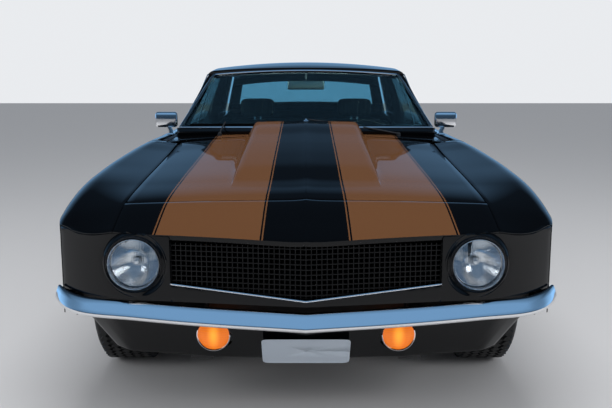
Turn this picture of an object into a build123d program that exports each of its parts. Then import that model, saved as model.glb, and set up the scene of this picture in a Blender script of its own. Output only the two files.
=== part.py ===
"""A two-door hardtop muscle car with a raised rear-opening hood scoop and long painted stripes.

The car faces -Y and +X is its left side. Z is up from the floor that its tyres stand on.
A place along the car is given as a station: millimetres behind the foremost point of the nose.
"""

import math
import os
from collections import namedtuple

from build123d import *

# Overall sizes
LENGTH = 4730.0
NOSE_Y = -LENGTH / 2
FRONT_AXLE = 935.0
WHEELBASE = 2743.0
REAR_AXLE = FRONT_AXLE + WHEELBASE
FRONT_TRACK = 1514.0
REAR_TRACK = 1511.0

# Tyres and wheels
TYRE_R = 331.0
TYRE_W = 236.0
RIM_R = 196.0
RIM_W = 196.0
BEAD_R = 188.0
ARCH_R = 372.0
ARCH_RISE = 8.0
BORE_R = 30.0
BORE_CLEARANCE = 0.05
HUB_FACE = 40.0
LUG_COUNT = 5
LUG_CIRCLE_R = 60.3
SLOT_COUNT = 5

# Panels and the gaps between them
SKIN = 26.0
LID = 20.0
GLASS = 6.0
GAP = 6.0
SEAT_GAP = 0.3

# Shut lines, as stations
HOOD_FRONT = 333.0
HOOD_REAR = 1600.0
DOOR_FRONT = 1560.0
DOOR_REAR = 2760.0
LID_FRONT = 4045.0
LID_REAR = 4612.0
TAIL = 4650.0
HOOD_HALF = 650.0
DECK_HALF = 600.0
SCOOP_MOUTH_HALF = 246.0
SCOOP_MOUTH_DEPTH = 170.0

Section = namedtuple(
    "Section", "station seam_x seam_z shoulder_x shoulder_z side_x side_z crease_x crease_z sill_x sill_z"
)
# The body's half section: top seam, where the shoulder starts, where it ends, side crease, sill
BODY = [
    Section(0, 650, 668, 800, 612, 880, 545, 885, 480, 868, 330),
    Section(150, 650, 727, 805, 672, 890, 600, 897, 540, 876, 325),
    Section(330, 650, 785, 815, 762, 905, 665, 913, 605, 885, 320),
    Section(600, 650, 817, 825, 822, 917, 722, 925, 650, 895, 290),
    Section(935, 650, 845, 825, 855, 924, 742, 932, 665, 905, 240),
    Section(1300, 652, 874, 798, 886, 915, 765, 930, 675, 905, 190),
    Section(1560, 655, 897, 762, 908, 900, 785, 922, 682, 898, 176),
    Section(2000, 655, 905, 750, 915, 893, 800, 918, 690, 894, 174),
    Section(2760, 600, 915, 752, 925, 893, 812, 918, 695, 894, 174),
    Section(3250, 600, 940, 765, 955, 908, 835, 930, 700, 902, 178),
    Section(REAR_AXLE, 600, 945, 775, 957, 915, 845, 938, 700, 905, 250),
    Section(4250, 600, 930, 765, 938, 895, 825, 918, 690, 885, 330),
    Section(4730, 600, 900, 745, 902, 862, 790, 885, 665, 850, 390),
]

# Plan of the nose's leading edge: half width and station
NOSE_TIP = (0.0, 30.0)
NOSE_LAMP = (500.0, 105.0)
NOSE_BEND = (720.0, 168.0)
NOSE_CORNER = (868.0, 275.0)
NOSE_SIDE = (926.0, 480.0)

# Lamps, grille and bumpers
LAMP_X = 576.0
LAMP_Z = 615.0
LAMP_R = 82.0
BEZEL_R = 97.0
GRILLE_HALF = 452.0
GRILLE_TOP = 704.0
GRILLE_LOW_SIDE = 553.0
GRILLE_LOW_MID = 512.0
TURN_X = 319.0
TURN_Z = 356.0
TURN_R = 58.0
PLATE_SIZE = (305.0, 152.0, 2.0)
PLATE_PAD = 14.0
PLATE_TOP_STATION = 115.0
PLATE_TOP_Z = 354.0
PLATE_LEAN = 94.0
PLATE_DROP = 120.0

# Cabin
WINDSHIELD_BASE = ((705.0, 1872.0, 948.0), (0.0, 1652.0, 962.0))
WINDSHIELD_TOP = ((572.0, 2412.0, 1243.0), (0.0, 2296.0, 1268.0))
BACKLIGHT_BASE = ((640.0, 3900.0, 948.0), (0.0, 3990.0, 962.0))
BACKLIGHT_TOP = ((525.0, 3300.0, 1222.0), (0.0, 3262.0, 1268.0))
BELT_GLASS = (731.0, 896.0)
RAIL_GLASS = (598.0, 1242.0)
GLASS_BULGE = 12.0
FLOOR_Z = 205.0
REAR_FLOOR_Z = 505.0
FLOOR_HALF = 799.7
FIREWALL = 1500.0
KICK_UP = 3050.0
PLATE = 12.0

# Steering
KINGPIN_X = 700.0
BALL_Z = (215.0, 447.0)
PIN_R = 9.0
COLUMN_X = 350.0
COLUMN_FOOT = (1512.3, 542.0)
COLUMN_SLOPE = 22.0
COLUMN_LENGTH = 655.0


def at(x, station, z):
    """The point at a half width, a station and a height."""
    return Vector(x, NOSE_Y + station, z)


def block(xs, stations, zs):
    """A box between two half widths, two stations and two heights."""
    size = (xs[1] - xs[0], stations[1] - stations[0], zs[1] - zs[0])
    low = at(xs[0], stations[0], zs[0])
    return Pos(low.X, low.Y, low.Z) * Box(*size, align=(Align.MIN, Align.MIN, Align.MIN))


def rod(start, end, radius):
    """A round bar between two points."""
    line = end - start
    return Solid.make_cylinder(radius, line.length, Plane(origin=start, z_dir=line))


def tube(points, radius, bend):
    """A round tube along straight runs with bends of one radius."""
    path = FilletPolyline(*points, radius=bend)
    start = Plane(origin=path @ 0, z_dir=path % 0)
    return sweep(start * Circle(radius), path=path)


def mirrored(shape):
    """The same shape on the car's other side."""
    return mirror(shape, about=Plane.YZ)


def both(shape):
    """The shape and its mirror image, as two solids."""
    return Compound(children=[*solids_of(shape), *solids_of(mirrored(shape))])


def solids_of(shape):
    """Fresh copies of the solids in a shape, or in a list of shapes."""
    shapes = shape if isinstance(shape, (list, tuple)) else [shape]
    return [Solid(s.wrapped) for one in shapes for s in one.solids()]


def less(shape, *cutters):
    """A shape with others cut away from it."""
    for cutter in cutters:
        shape = shape - cutter
    return shape


def largest(shape):
    """The biggest solid of a shape."""
    return max(solids_of(shape), key=lambda solid: solid.volume)


def body_at(station):
    """The body's section at a station, blended smoothly between the table's rows."""
    rows = BODY
    i = max(k for k in range(len(rows) - 1) if k == 0 or rows[k].station <= station)
    low, high = rows[i], rows[i + 1]
    before, after = rows[max(i - 1, 0)], rows[min(i + 2, len(rows) - 1)]
    span = high.station - low.station
    t = (station - low.station) / span
    values = [station]
    for a, b, c, d in list(zip(before, low, high, after))[1:]:
        start = (c - a) / (high.station - before.station) * span
        end = (d - b) / (after.station - low.station) * span
        values.append(
            (2 * t**3 - 3 * t**2 + 1) * b + (t**3 - 2 * t**2 + t) * start
            + (3 * t**2 - 2 * t**3) * c + (t**3 - t**2) * end
        )
    return Section(*values)


def line(a, b):
    return Edge.make_line(a, b)


def arc(a, via, b):
    return Edge.make_three_point_arc(a, via, b)


def ring_of(points):
    """A closed wire of straight edges through points."""
    return Wire([line(a, b) for a, b in zip(points, points[1:] + points[:1])])


def outline(section, inset, from_seam):
    """The corner points of the body's skin at a section, from top to sill, moved inwards by inset."""
    y = section.station
    corners = [
        at(section.shoulder_x - 0.4 * inset, y, section.shoulder_z - inset),
        at(section.side_x - inset, y, section.side_z - 0.4 * inset),
        at(section.crease_x - inset, y, section.crease_z),
        at(section.sill_x - inset, y, section.sill_z),
    ]
    if from_seam:
        corners.insert(0, at(section.seam_x, y, section.seam_z - inset))
    return corners


def skin_edges(corners):
    """Edges over the corner points: top, rounded shoulder, upper side, tucked lower side."""
    *top, shoulder, side, crease, sill = corners
    round_share = math.sqrt(0.5)
    over = Vector(
        shoulder.X + round_share * (side.X - shoulder.X), side.Y, side.Z + round_share * (shoulder.Z - side.Z)
    )
    tuck = crease.X - sill.X
    drop = crease.Z - sill.Z
    radius = (tuck**2 + drop**2) / (2 * tuck)
    half_turn = math.asin(drop / radius) / 2
    under = Vector(
        crease.X - radius * (1 - math.cos(half_turn)), crease.Y, crease.Z - radius * math.sin(half_turn)
    )
    edges = [arc(shoulder, over, side), line(side, crease), arc(crease, under, sill)]
    if top:
        edges.insert(0, line(top[0], shoulder))
    return edges


def side_band(stations, thickness, from_seam=True, inner=None):
    """A body side panel: lofted through its sections, between the outer skin and one inside it."""
    wires = []
    for station in stations:
        section = body_at(station)
        outer = outline(section, 0, from_seam)
        inside = outline(section, thickness, from_seam)
        edges = skin_edges(outer) + skin_edges(inside)
        edges += [line(outer[0], inside[0]), line(outer[-1], inside[-1])]
        wires.append(Wire(edges))
    return Solid.make_loft(wires, ruled=False)


def top_band(rows, thickness):
    """A panel across the car: rows of station, half width, edge height, middle height."""
    wires = []
    for station, half, edge_z, mid_z in rows:
        upper = arc(at(-half, station, edge_z), at(0, station, mid_z), at(half, station, edge_z))
        lower = arc(
            at(-half, station, edge_z - thickness), at(0, station, mid_z - thickness), at(half, station, edge_z - thickness)
        )
        sides = [line(at(x, station, edge_z), at(x, station, edge_z - thickness)) for x in (-half, half)]
        wires.append(Wire([upper, lower, *sides]))
    return Solid.make_loft(wires, ruled=False)


def plan_edges(points, z):
    """Edges at one height over plan points, each a half width and a station. A None marks the next as an arc's middle."""
    edges = []
    here = at(*points[0], z)
    i = 1
    while i < len(points):
        if points[i] is None:
            edges.append(arc(here, at(*points[i + 1], z), at(*points[i + 2], z)))
            here = at(*points[i + 2], z)
            i += 3
        else:
            edges.append(line(here, at(*points[i], z)))
            here = at(*points[i], z)
            i += 1
    return edges


def plan_prism(points, z_low, z_high):
    """The plan outline on the left, mirrored and closed, as an upright prism."""
    left = plan_edges(points, z_low)
    right = plan_edges([p if p is None else (-p[0], p[1]) for p in points], z_low)
    edges = [*left, *right]
    if points[-1][0]:
        edges.append(line(at(points[-1][0], points[-1][1], z_low), at(-points[-1][0], points[-1][1], z_low)))
    face = Face(Wire(edges))
    return extrude(face, amount=z_high - z_low, dir=(0, 0, 1))


def nose_outline(inset=0.0, rear=2400.0, clear=1200.0):
    """Plan points along the nose's leading edge, moved back by inset, and out round the whole body."""
    pull = inset * 0.9
    return [
        (0.0, NOSE_TIP[1] + inset),
        (NOSE_LAMP[0] - 0.2 * inset, NOSE_LAMP[1] + inset),
        None,
        (NOSE_BEND[0] - 0.5 * pull, NOSE_BEND[1] + pull),
        (NOSE_CORNER[0] - pull, NOSE_CORNER[1] + 0.5 * pull),
        (NOSE_SIDE[0] - inset, NOSE_SIDE[1]),
        (clear, NOSE_SIDE[1] + 20),
        (clear, rear),
    ]


NOSE_PRISM = plan_prism(nose_outline(), 100, 1100)
TUNNEL_PASSAGE = block((-110, 110), (1400, 3100), (FLOOR_Z - 1, 372))


def wheel_arch(axle, inner_x, outer_x, extra=0.0):
    """What the wheel opening takes out of a body side: round above, straight below."""
    radius = ARCH_R + extra
    centre = at(inner_x, axle, TYRE_R + ARCH_RISE)
    round_part = Solid.make_cylinder(radius, outer_x - inner_x, Plane(origin=centre, z_dir=(1, 0, 0)))
    straight = block((inner_x, outer_x), (axle - radius, axle + radius), (0, TYRE_R + ARCH_RISE))
    return round_part + straight


def fender():
    """Front fender, left: top, rounded shoulder, side with the wheel opening, cut to the nose's plan."""
    panel = side_band((15, 150, 330, 600, 935, 1300, DOOR_FRONT - GAP / 2), SKIN)
    panel = panel & NOSE_PRISM
    panel = less(panel, wheel_arch(FRONT_AXLE, 780, 1000), *lamp_holes())
    ahead = block((700, 1000), (0, FRONT_AXLE - ARCH_R - 1), (100, 352))
    return less(panel, ahead)


def quarter():
    """Rear quarter panel, left, with its wheel opening and the trimmed wall beside the rear seat."""
    panel = side_band((DOOR_REAR + GAP / 2, 3000, 3250, REAR_AXLE, 4250, TAIL), SKIN)
    section = body_at(3000)
    wall = block((640, section.side_x - 60), (DOOR_REAR + GAP / 2 + 2, 3270), (FLOOR_Z + 60, section.seam_z - 45))
    panel = panel + wall
    panel = less(panel, wheel_arch(REAR_AXLE, 600, 1000))
    behind = block((700, 1000), (REAR_AXLE + ARCH_R + 1, TAIL + 100), (100, 345))
    return less(panel, behind)


def door():
    """Door, left: outer skin with a thick trimmed inside that stops short of the shut line."""
    low = 268.0
    front, rear = DOOR_FRONT + GAP / 2 + 1, DOOR_REAR - GAP / 2
    skin = side_band((front, 1900, 2350, rear), SKIN, from_seam=False)
    wires = []
    for station in (front + 36, 1900, 2350, rear - 26):
        s = body_at(station)
        corners = [
            at(s.shoulder_x - 10, station, s.shoulder_z - 4),
            at(s.side_x - 12, station, s.side_z - 4),
            at(s.sill_x - 8, station, low),
            at(796, station, low),
            at(806, station, s.side_z - 40),
            at(700, station, s.shoulder_z - 4),
        ]
        wires.append(ring_of(corners))
    inner = Solid.make_loft(wires, ruled=True)
    trim = less(inner, skin)
    keep = block((650, 1000), (front, rear), (low, 1000))
    shape = (skin + trim) & keep
    slot = block((BELT_GLASS[0] - 16, BELT_GLASS[0] + 8), (1925, rear + 1), (860, 1000))
    beside_pillar = block((600, 729), (front - 1, 1948), (868, 1000))
    return less(shape, slot, beside_pillar)


def hood_shape():
    """Hood with its raised scoop, open at the rear, and a low ridge down the middle."""
    front, rear = HOOD_FRONT + GAP / 2, HOOD_REAR
    half = HOOD_HALF - GAP
    crowns = ((front, 12), (700, 20), (1150, 27), (rear, 32))
    rows = [(s, half, body_at(s).seam_z, body_at(s).seam_z + crown) for s, crown in crowns]
    panel = top_band(rows, LID)
    # Scoop rows: station, half width at the top and at the base, height of the top and of the buried base
    scoop_rows = [
        (520, 284, 287, 819, 796), (800, 277, 293, 874, 812), (1200, 269, 302, 938, 845), (rear, 262, 316, 1000, 880),
    ]
    wires = []
    for station, top_half, base_half, top_z, base_z in scoop_rows:
        base_left, top_left = at(base_half, station, base_z), at(top_half, station, top_z)
        base_right, top_right = at(-base_half, station, base_z), at(-top_half, station, top_z)
        top = arc(top_right, at(0, station, top_z + 4), top_left)
        wires.append(Wire([line(base_right, top_right), top, line(top_left, base_left), line(base_left, base_right)]))
    scoop = Solid.make_loft(wires, ruled=False)
    mouth = block((-SCOOP_MOUTH_HALF, SCOOP_MOUTH_HALF), (rear - SCOOP_MOUTH_DEPTH, rear + 1), (938, 984))
    return less(panel + scoop, mouth)


def header_panel():
    """The panel ahead of the hood, cut to the nose's plan, that carries the stripes down to the grille."""
    half = HOOD_HALF - GAP / 2
    crowns = ((15, 26), (150, 18), (HOOD_FRONT - GAP / 2, 12))
    rows = [(s, half, body_at(s).seam_z, body_at(s).seam_z + crown) for s, crown in crowns]
    return less(top_band(rows, LID) & NOSE_PRISM, *lamp_holes())


def cowl_panel():
    """The vented panel between the hood and the windshield."""
    rows = [(s, 722, body_at(s).seam_z + 2, body_at(s).seam_z + 34) for s in (DOOR_FRONT - 2, 1750, 1905)]
    panel = top_band(rows, LID)
    panel = less(panel, block((-HOOD_HALF, HOOD_HALF), (1500, HOOD_REAR + GAP), (800, 1000)))
    for k in range(-9, 10):
        if abs(k) > 3:
            panel = less(panel, block((k * 55 - 4, k * 55 + 4), (1622, 1644), (800, 1000)))
    return panel


def arch_cover(axle, inner_x, outer_x, low_angle):
    """A wheelhouse: a half-round shell over the tyre with a wall on its inner side."""
    centre = at(inner_x, axle, TYRE_R + ARCH_RISE)
    wall = 8.0
    outer = Solid.make_cylinder(ARCH_R + wall, outer_x - inner_x, Plane(origin=centre, z_dir=(1, 0, 0)))
    hollow = Solid.make_cylinder(
        ARCH_R, outer_x - inner_x, Plane(origin=centre + Vector(wall, 0, 0), z_dir=(1, 0, 0))
    )
    shell = outer - hollow
    low = TYRE_R + ARCH_RISE + ARCH_R * math.sin(math.radians(low_angle))
    return less(shell, block((inner_x - 1, outer_x + 20), (axle - 500, axle + 500), (-200, low)))


def glass_sheet(base, top, thickness):
    """A curved pane between a lower and an upper arc, each given by its left end and its middle."""
    arcs = [arc(at(*end), at(*mid), at(-end[0], end[1], end[2])) for end, mid in (base, top)]
    return Solid.thicken(Face.make_surface_from_curves(*arcs), thickness, normal_override=(0, 0, -1))


def side_pane(points):
    """A pane of the curved side glass, cut to an outline given as stations and heights."""
    low, high = at(BELT_GLASS[0], 0, BELT_GLASS[1]), at(RAIL_GLASS[0], 0, RAIL_GLASS[1])
    bulge = Vector((low.X + high.X) / 2 + GLASS_BULGE, low.Y, (low.Z + high.Z) / 2)
    inwards = Vector(-GLASS, 0, 0)
    band = Face(Wire([
        arc(low, bulge, high), arc(low + inwards, bulge + inwards, high + inwards),
        line(low, low + inwards), line(high, high + inwards),
    ]))
    sheet = extrude(band, amount=LENGTH, dir=(0, 1, 0))
    corners = [at(400, s, z) for s, z in points]
    profile = Face(ring_of(corners))
    return sheet & extrude(profile, amount=600, dir=(1, 0, 0))


def pillar(low, high):
    """A tapered post between two four-cornered ends, closed with triangles."""
    low, high = [at(*c) for c in low], [at(*c) for c in high]
    triangles = [
        (low[0], low[2], low[1]), (low[0], low[3], low[2]), (high[0], high[1], high[2]), (high[0], high[2], high[3]),
    ]
    for i in range(4):
        j = (i + 1) % 4
        triangles += [(low[i], low[j], high[j]), (low[i], high[j], high[i])]
    faces = [Face(Wire([line(t[0], t[1]), line(t[1], t[2]), line(t[2], t[0])])) for t in triangles]
    solid = Solid(Shell(faces))
    return solid if solid.volume > 0 else Solid(solid.wrapped.Reversed())


def roof():
    """Roof panel with its windshield pillars and the broad panels beside the back window."""
    # Rows: station, half width of the crown, height there, middle height, half width at the rail, rail height
    rows = [
        (2292, 548, 1256, 1282, 596, 1228), (2420, 556, 1268, 1299, 603, 1238), (2750, 562, 1286, 1322, 608, 1244),
        (3060, 552, 1277, 1316, 604, 1238), (3300, 530, 1243, 1280, 590, 1212),
    ]
    wires = []
    for station, half, edge_z, mid_z, rail_x, rail_z in rows:
        edges = [arc(at(-half, station, edge_z), at(0, station, mid_z), at(half, station, edge_z))]
        thick = 24.0
        below = [at(x, station, z - thick) for x, z in ((-half, edge_z), (0, mid_z), (half, edge_z))]
        edges.append(arc(*below))
        for side in (-1, 1):
            a, c = at(side * half, station, edge_z), at(side * rail_x, station, rail_z)
            via = at(side * (half + 0.75 * (rail_x - half)), station, edge_z - 0.36 * (edge_z - rail_z))
            e = at(side * (rail_x - 30), station, rail_z)
            edges += [arc(a, via, c), line(c, e), line(e, at(side * half, station, edge_z - thick))]
        wires.append(Wire(edges))
    top = Solid.make_loft(wires, ruled=False)
    brow = arc(at(-700, 2454, 1100), at(0, 2290, 1100), at(700, 2454, 1100))
    ahead = [at(-700, 2454, 1100), at(-700, 2200, 1100), at(700, 2200, 1100), at(700, 2454, 1100)]
    ahead = Face(Wire([brow, *[line(a, b) for a, b in zip(ahead, ahead[1:])]]))
    top = less(top, extrude(ahead, amount=300, dir=(0, 0, 1)))
    front_post = pillar(
        [(676, 1846, 904), (722, 1866, 904), (720, 1925, 904), (676, 1905, 904)],
        [(562, 2400, 1253), (600, 2408, 1242), (600, 2474, 1245), (560, 2462, 1256)],
    )
    rear_post = pillar(
        [(668, 3372, 938), (748, 3372, 938), (735, 3940, 938), (655, 3920, 938)],
        [(552, 3105, 1262), (600, 3105, 1243), (586, 3296, 1222), (532, 3296, 1230)],
    )
    posts = both(front_post).solids() + both(rear_post).solids()
    shape = top
    for post in posts:
        shape = shape + post
    return shape


def wheel_rim(outward):
    """Slotted steel wheel with its brake disc, hub and lugs, about the X axis; outward is +1 or -1."""
    half = RIM_W / 2
    # Barrel outline: radius and offset from the wheel's middle plane, positive outwards
    barrel = [
        (RIM_R, half), (RIM_R, half - 8), (BEAD_R, half - 10), (BEAD_R, half - 34), (168, half - 52), (168, -half + 52),
        (BEAD_R, -half + 34), (BEAD_R, -half + 10), (RIM_R, -half + 8), (RIM_R, -half), (BEAD_R - 8, -half),
        (BEAD_R - 8, -half + 36), (161, -half + 55), (161, half - 55), (BEAD_R - 8, half - 36), (BEAD_R - 8, half),
    ]
    disc = [
        (BORE_R + BORE_CLEARANCE, 6), (BORE_R + BORE_CLEARANCE, -34), (46, -34), (46, 2), (80, 2), (112, 26), (140, 26),
        (161.5, 6), (161.5, 14), (142, 36), (108, 36), (84, 14), (44, 16), (44, HUB_FACE), (38, HUB_FACE + 6), (12, HUB_FACE + 8),
        (0, HUB_FACE + 8), (0, 6),
    ]
    rotor = [(44, -10), (44, -22), (140, -22), (140, -10)]

    def turned(points):
        corners = [Vector(outward * x, 0, r) for r, x in points]
        face = Face(ring_of(corners))
        return revolve(face, axis=Axis.X, revolution_arc=360)

    centre = turned(disc)
    for k in range(SLOT_COUNT):
        slot = Rot(360 / SLOT_COUNT * (k + 0.5), 0, 0) * (
            Pos(outward * 25, 0, 126) * Rot(0, 90, 0) * extrude(SlotOverall(58, 24, rotation=90), amount=60, both=True)
        )
        centre = less(centre, slot)
    rim = turned(barrel) + centre + turned(rotor)
    for k in range(LUG_COUNT):
        angle = math.radians(360 / LUG_COUNT * k)
        foot = Vector(outward * 12, LUG_CIRCLE_R * math.sin(angle), LUG_CIRCLE_R * math.cos(angle))
        plane = Plane(origin=foot, z_dir=(outward, 0, 0))
        rim = rim + extrude(plane * RegularPolygon(10.5, 6), amount=24)
    return rim


def tyre():
    """Tyre seated on its rim, about the X axis: beads, bulged sidewalls, shoulders and a flat tread."""
    # One side's profile: offset from the middle plane and radius
    side = [(RIM_W / 2 - 12.5, BEAD_R + SEAT_GAP), (TYRE_W / 2, 250), (TYRE_W / 2 - 5, 300), (TYRE_W / 2 - 23, TYRE_R)]
    ring = [Vector(x, 0, r) for x, r in side] + [Vector(-x, 0, r) for x, r in reversed(side)]
    return revolve(Face(ring_of(ring)), axis=Axis.X, revolution_arc=360)


def placed(shape, x, station, z):
    return Pos(x, NOSE_Y + station, z) * shape


def body_core(stations, inset):
    """The whole body between stations, filled, inside a skin of the given thickness."""
    wires = []
    for station in stations:
        points = outline(body_at(station), inset, True)
        top, low = points[0], points[-1]
        inner = [at(0, station, low.Z), at(0, station, top.Z)]
        edges = skin_edges(points) + [line(low, inner[0]), line(inner[0], inner[1]), line(inner[1], top)]
        wires.append(Wire(edges))
    half = Solid.make_loft(wires, ruled=False)
    return half + mirrored(half)


def deck_lid():
    """Trunk lid: a crowned panel between the quarters with a slight lip at its rear edge."""
    front, rear = LID_FRONT + GAP, LID_REAR
    half = DECK_HALF - GAP
    rows = [(s, half, body_at(s).seam_z, body_at(s).seam_z + 13) for s in (front, 4330, rear)]
    return top_band(rows, LID)


def tail_panel():
    """Tail panel and rear valance, with the pad and bolt holes for the rear plate."""
    core = body_core((4560, TAIL), SKIN + SEAT_GAP)
    panel = core & block((-900, 900), (LID_REAR + 10, TAIL), (560, 1000))
    valance = core & block((-900, 900), (LID_REAR + 14, TAIL), (392, 561))
    low = plan_prism([(0, 4650), (700, 4650), (820, 4600), (800, 4570), (680, 4620), (0, 4620)], 300, 393)
    pad = block((-172, 172), (4622, TAIL), (246, 310))
    rows = [(s, DECK_HALF - SEAT_GAP, body_at(s).seam_z, body_at(s).seam_z + 13) for s in (LID_REAR + 10, TAIL)]
    lip = top_band(rows, 45)
    shape = panel + valance + low + pad + lip
    for x in (-89, 89):
        shape = less(shape, rod(at(x, 4600, 372), at(x, 4660, 372), 3.5))
    return shape


def tail_lamps():
    """Three lenses on each side of the tail panel."""
    lenses = [block((x, x + 112), (TAIL + SEAT_GAP, TAIL + 12), (628, 738)) for x in (478, 600, 722)]
    return both(lenses)


def front_bumper():
    """One-piece blade bumper: a shallow point in the middle, swept back and raised at its tips."""
    # Half width and station of the front, the same of the back, lower and upper edge
    rows = [
        (0, 0, 0, 56, 418, 484), (350, 45, 343, 100, 418, 484), (660, 110, 648, 160, 418, 484),
        (760, 138, 735, 182, 420, 485), (826, 178, 797, 212, 425, 489), (868, 224, 842, 244, 433, 495),
        (893, 262, 873, 278, 443, 502),
    ]
    wires = []
    for x, front, back_x, back, z_low, z_high in [(-r[0], r[1], -r[2], *r[3:]) for r in rows[:0:-1]] + rows:
        share = 9 / math.hypot(x - back_x, back - front)
        edge_x, edge = x + share * (back_x - x), front + share * (back - front)
        corners = [
            at(edge_x, edge, z_low), at(x, front, z_low + 17), at(x, front, z_high - 17), at(edge_x, edge, z_high),
            at(back_x, back, z_high), at(back_x, back, z_low),
        ]
        wires.append(ring_of(corners))
    blade = Solid.make_loft(wires, ruled=True)
    bracket = block((355, 405), (60, 299.7), (422, 470)) + block((355, 405), (260, 299.7), (240, 470))
    return blade + bracket + mirrored(bracket)


def rear_bumper():
    """Rear blade bumper wrapped round the corners, and its brackets."""
    outer = [(0, 4730), (760, 4722), None, (861.5, 4684.4), (914, 4590)]
    inner = [(895, 4590), None, (842, 4660), (740, 4682), (0, 4688)]
    left = plan_edges(outer, 404) + plan_edges([outer[-1], inner[0]], 404) + plan_edges(inner, 404)
    flip = [p if p is None else (-p[0], p[1]) for p in outer], [p if p is None else (-p[0], p[1]) for p in inner]
    right = plan_edges(flip[0], 404) + plan_edges([flip[0][-1], flip[1][0]], 404) + plan_edges(flip[1], 404)
    blade = extrude(Face(Wire(left + right)), amount=92, dir=(0, 0, 1))
    bracket = block((400, 460), (TAIL + SEAT_GAP, 4700), (425, 475))
    return blade + bracket + mirrored(bracket)


def front_valance():
    """The panel under the front bumper that leans back, with holes for the turn lamps."""
    wires = []
    for z, rows in (
        (436, ((0, 60), (345, 104), (690, 176), (800, 250))),
        (250, ((0, 206), (345, 230), (640, 290), (700, 345))),
    ):
        outer = [at(x, s, z) for x, s in rows]
        inner = [at(x - (9 if i == 3 else 0), s + 14, z) for i, (x, s) in enumerate(rows)]
        path = [*[Vector(-p.X, p.Y, p.Z) for p in reversed(outer[1:])], *outer]
        back = [*reversed(inner), *[Vector(-p.X, p.Y, p.Z) for p in inner[1:]]]
        ring = path + back
        wires.append(ring_of(ring))
    shape = Solid.make_loft(wires, ruled=True)
    for x in (-TURN_X, TURN_X):
        shape = less(shape, rod(at(x, 80, TURN_Z), at(x, 300, TURN_Z), TURN_R + SEAT_GAP))
    return less(shape, both(block((352, 408), (40, 320), (420, 480))))


def turn_lamps():
    """Round lamps in the valance: a body with a domed lens."""
    lamp = rod(at(TURN_X, 148, TURN_Z), at(TURN_X, 216, TURN_Z), TURN_R)
    return both(lamp)


def nose_panel():
    """Panel round the headlamps and the grille, along the nose's plan."""
    band = less(plan_prism(nose_outline(1.5, 700, 880), 492, 692), plan_prism(nose_outline(30, 900, 881), 400, 800))
    band = band & block((-881, 881), (0, 330), (400, 800))
    corners = [
        (-GRILLE_HALF, GRILLE_LOW_SIDE), (0, GRILLE_LOW_MID), (GRILLE_HALF, GRILLE_LOW_SIDE),
        (GRILLE_HALF, GRILLE_TOP), (-GRILLE_HALF, GRILLE_TOP),
    ]
    points = [at(x, -20, z) for x, z in corners]
    hole = extrude(Face(ring_of(points)), amount=300, dir=(0, 1, 0))
    band = less(band, hole)
    return less(band, *lamp_holes())


def lamp_holes():
    """The space that the headlamps and their rings take."""
    return [rod(at(x, 0, LAMP_Z), at(x, 200, LAMP_Z), BEZEL_R + SEAT_GAP) for x in (-LAMP_X, LAMP_X)]


def lamp_bezels():
    """Deep rings round the headlamps."""
    ring = less(
        rod(at(LAMP_X, 108, LAMP_Z), at(LAMP_X, 186, LAMP_Z), BEZEL_R),
        rod(at(LAMP_X, 90, LAMP_Z), at(LAMP_X, 190, LAMP_Z), LAMP_R + SEAT_GAP),
    )
    return both(ring)


def headlamps():
    """Sealed round lamps with a shallow domed glass."""
    points = [(0, 112), (LAMP_R, 126), (LAMP_R, 140), (50, 182), (0, 186)]
    base = [Vector(LAMP_X + r, NOSE_Y + s, LAMP_Z) for r, s in points]
    dome = arc(base[0], Vector(LAMP_X + 43, NOSE_Y + 115.6, LAMP_Z), base[1])
    face = Face(Wire([dome, *[line(a, b) for a, b in zip(base[1:], base[2:] + base[:1])]]))
    return both(revolve(face, axis=Axis(at(LAMP_X, 0, LAMP_Z), (0, 1, 0)), revolution_arc=360))


def grille():
    """Grille with a shallow point in the middle: a frame, crossing bars and its backing."""
    def strip(x_low, x_high, z_low, z_high, front, depth):
        """A bar between two half widths that follows the point of the nose."""
        def face_at(x):
            s = NOSE_TIP[1] + (NOSE_LAMP[1] - NOSE_TIP[1]) * abs(x) / NOSE_LAMP[0] + front
            return [at(x, s, z_low), at(x, s, z_high), at(x, s + depth, z_high), at(x, s + depth, z_low)]
        wires = []
        for x in (x_low, x_high):
            c = face_at(x)
            wires.append(ring_of(c))
        return Solid.make_loft(wires, ruled=True)

    half = GRILLE_HALF - SEAT_GAP
    bars = []
    for k in range(6):
        z = 536 + 28 * k
        bars += [strip(-half, 0, z - 3, z + 3, 16, 20), strip(0, half, z - 3, z + 3, 16, 20)]
    count = 10
    for k in range(-count, count + 1):
        x = half * k / count * 0.985
        bars.append(strip(x - 2.5, x + 2.5, 505, 700, 16, 20))
    backing = [strip(-half, 0, 505, 700, 34, 5), strip(0, half, 505, 700, 34, 5)]
    shape = backing[0] + backing[1]
    shape = shape + bars
    side_z, middle_z = GRILLE_LOW_SIDE + SEAT_GAP, GRILLE_LOW_MID + SEAT_GAP
    corners = [(-half, side_z), (0, middle_z), (half, side_z), (half, 691), (-half, 691)]
    points = [at(x, -20, z) for x, z in corners]
    keep = extrude(Face(ring_of(points)), amount=300, dir=(0, 1, 0))
    return shape & keep


def floor_pan():
    """Cabin floor with the tunnel over the gearbox."""
    length = (FIREWALL + PLATE + SEAT_GAP, KICK_UP - SEAT_GAP)
    floor = block((-FLOOR_HALF, FLOOR_HALF), length, (FLOOR_Z, FLOOR_Z + PLATE))
    tunnel = block((-120, 120), (FIREWALL + PLATE + SEAT_GAP, KICK_UP - SEAT_GAP), (FLOOR_Z, 384))
    return less(floor + tunnel, TUNNEL_PASSAGE)


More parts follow.
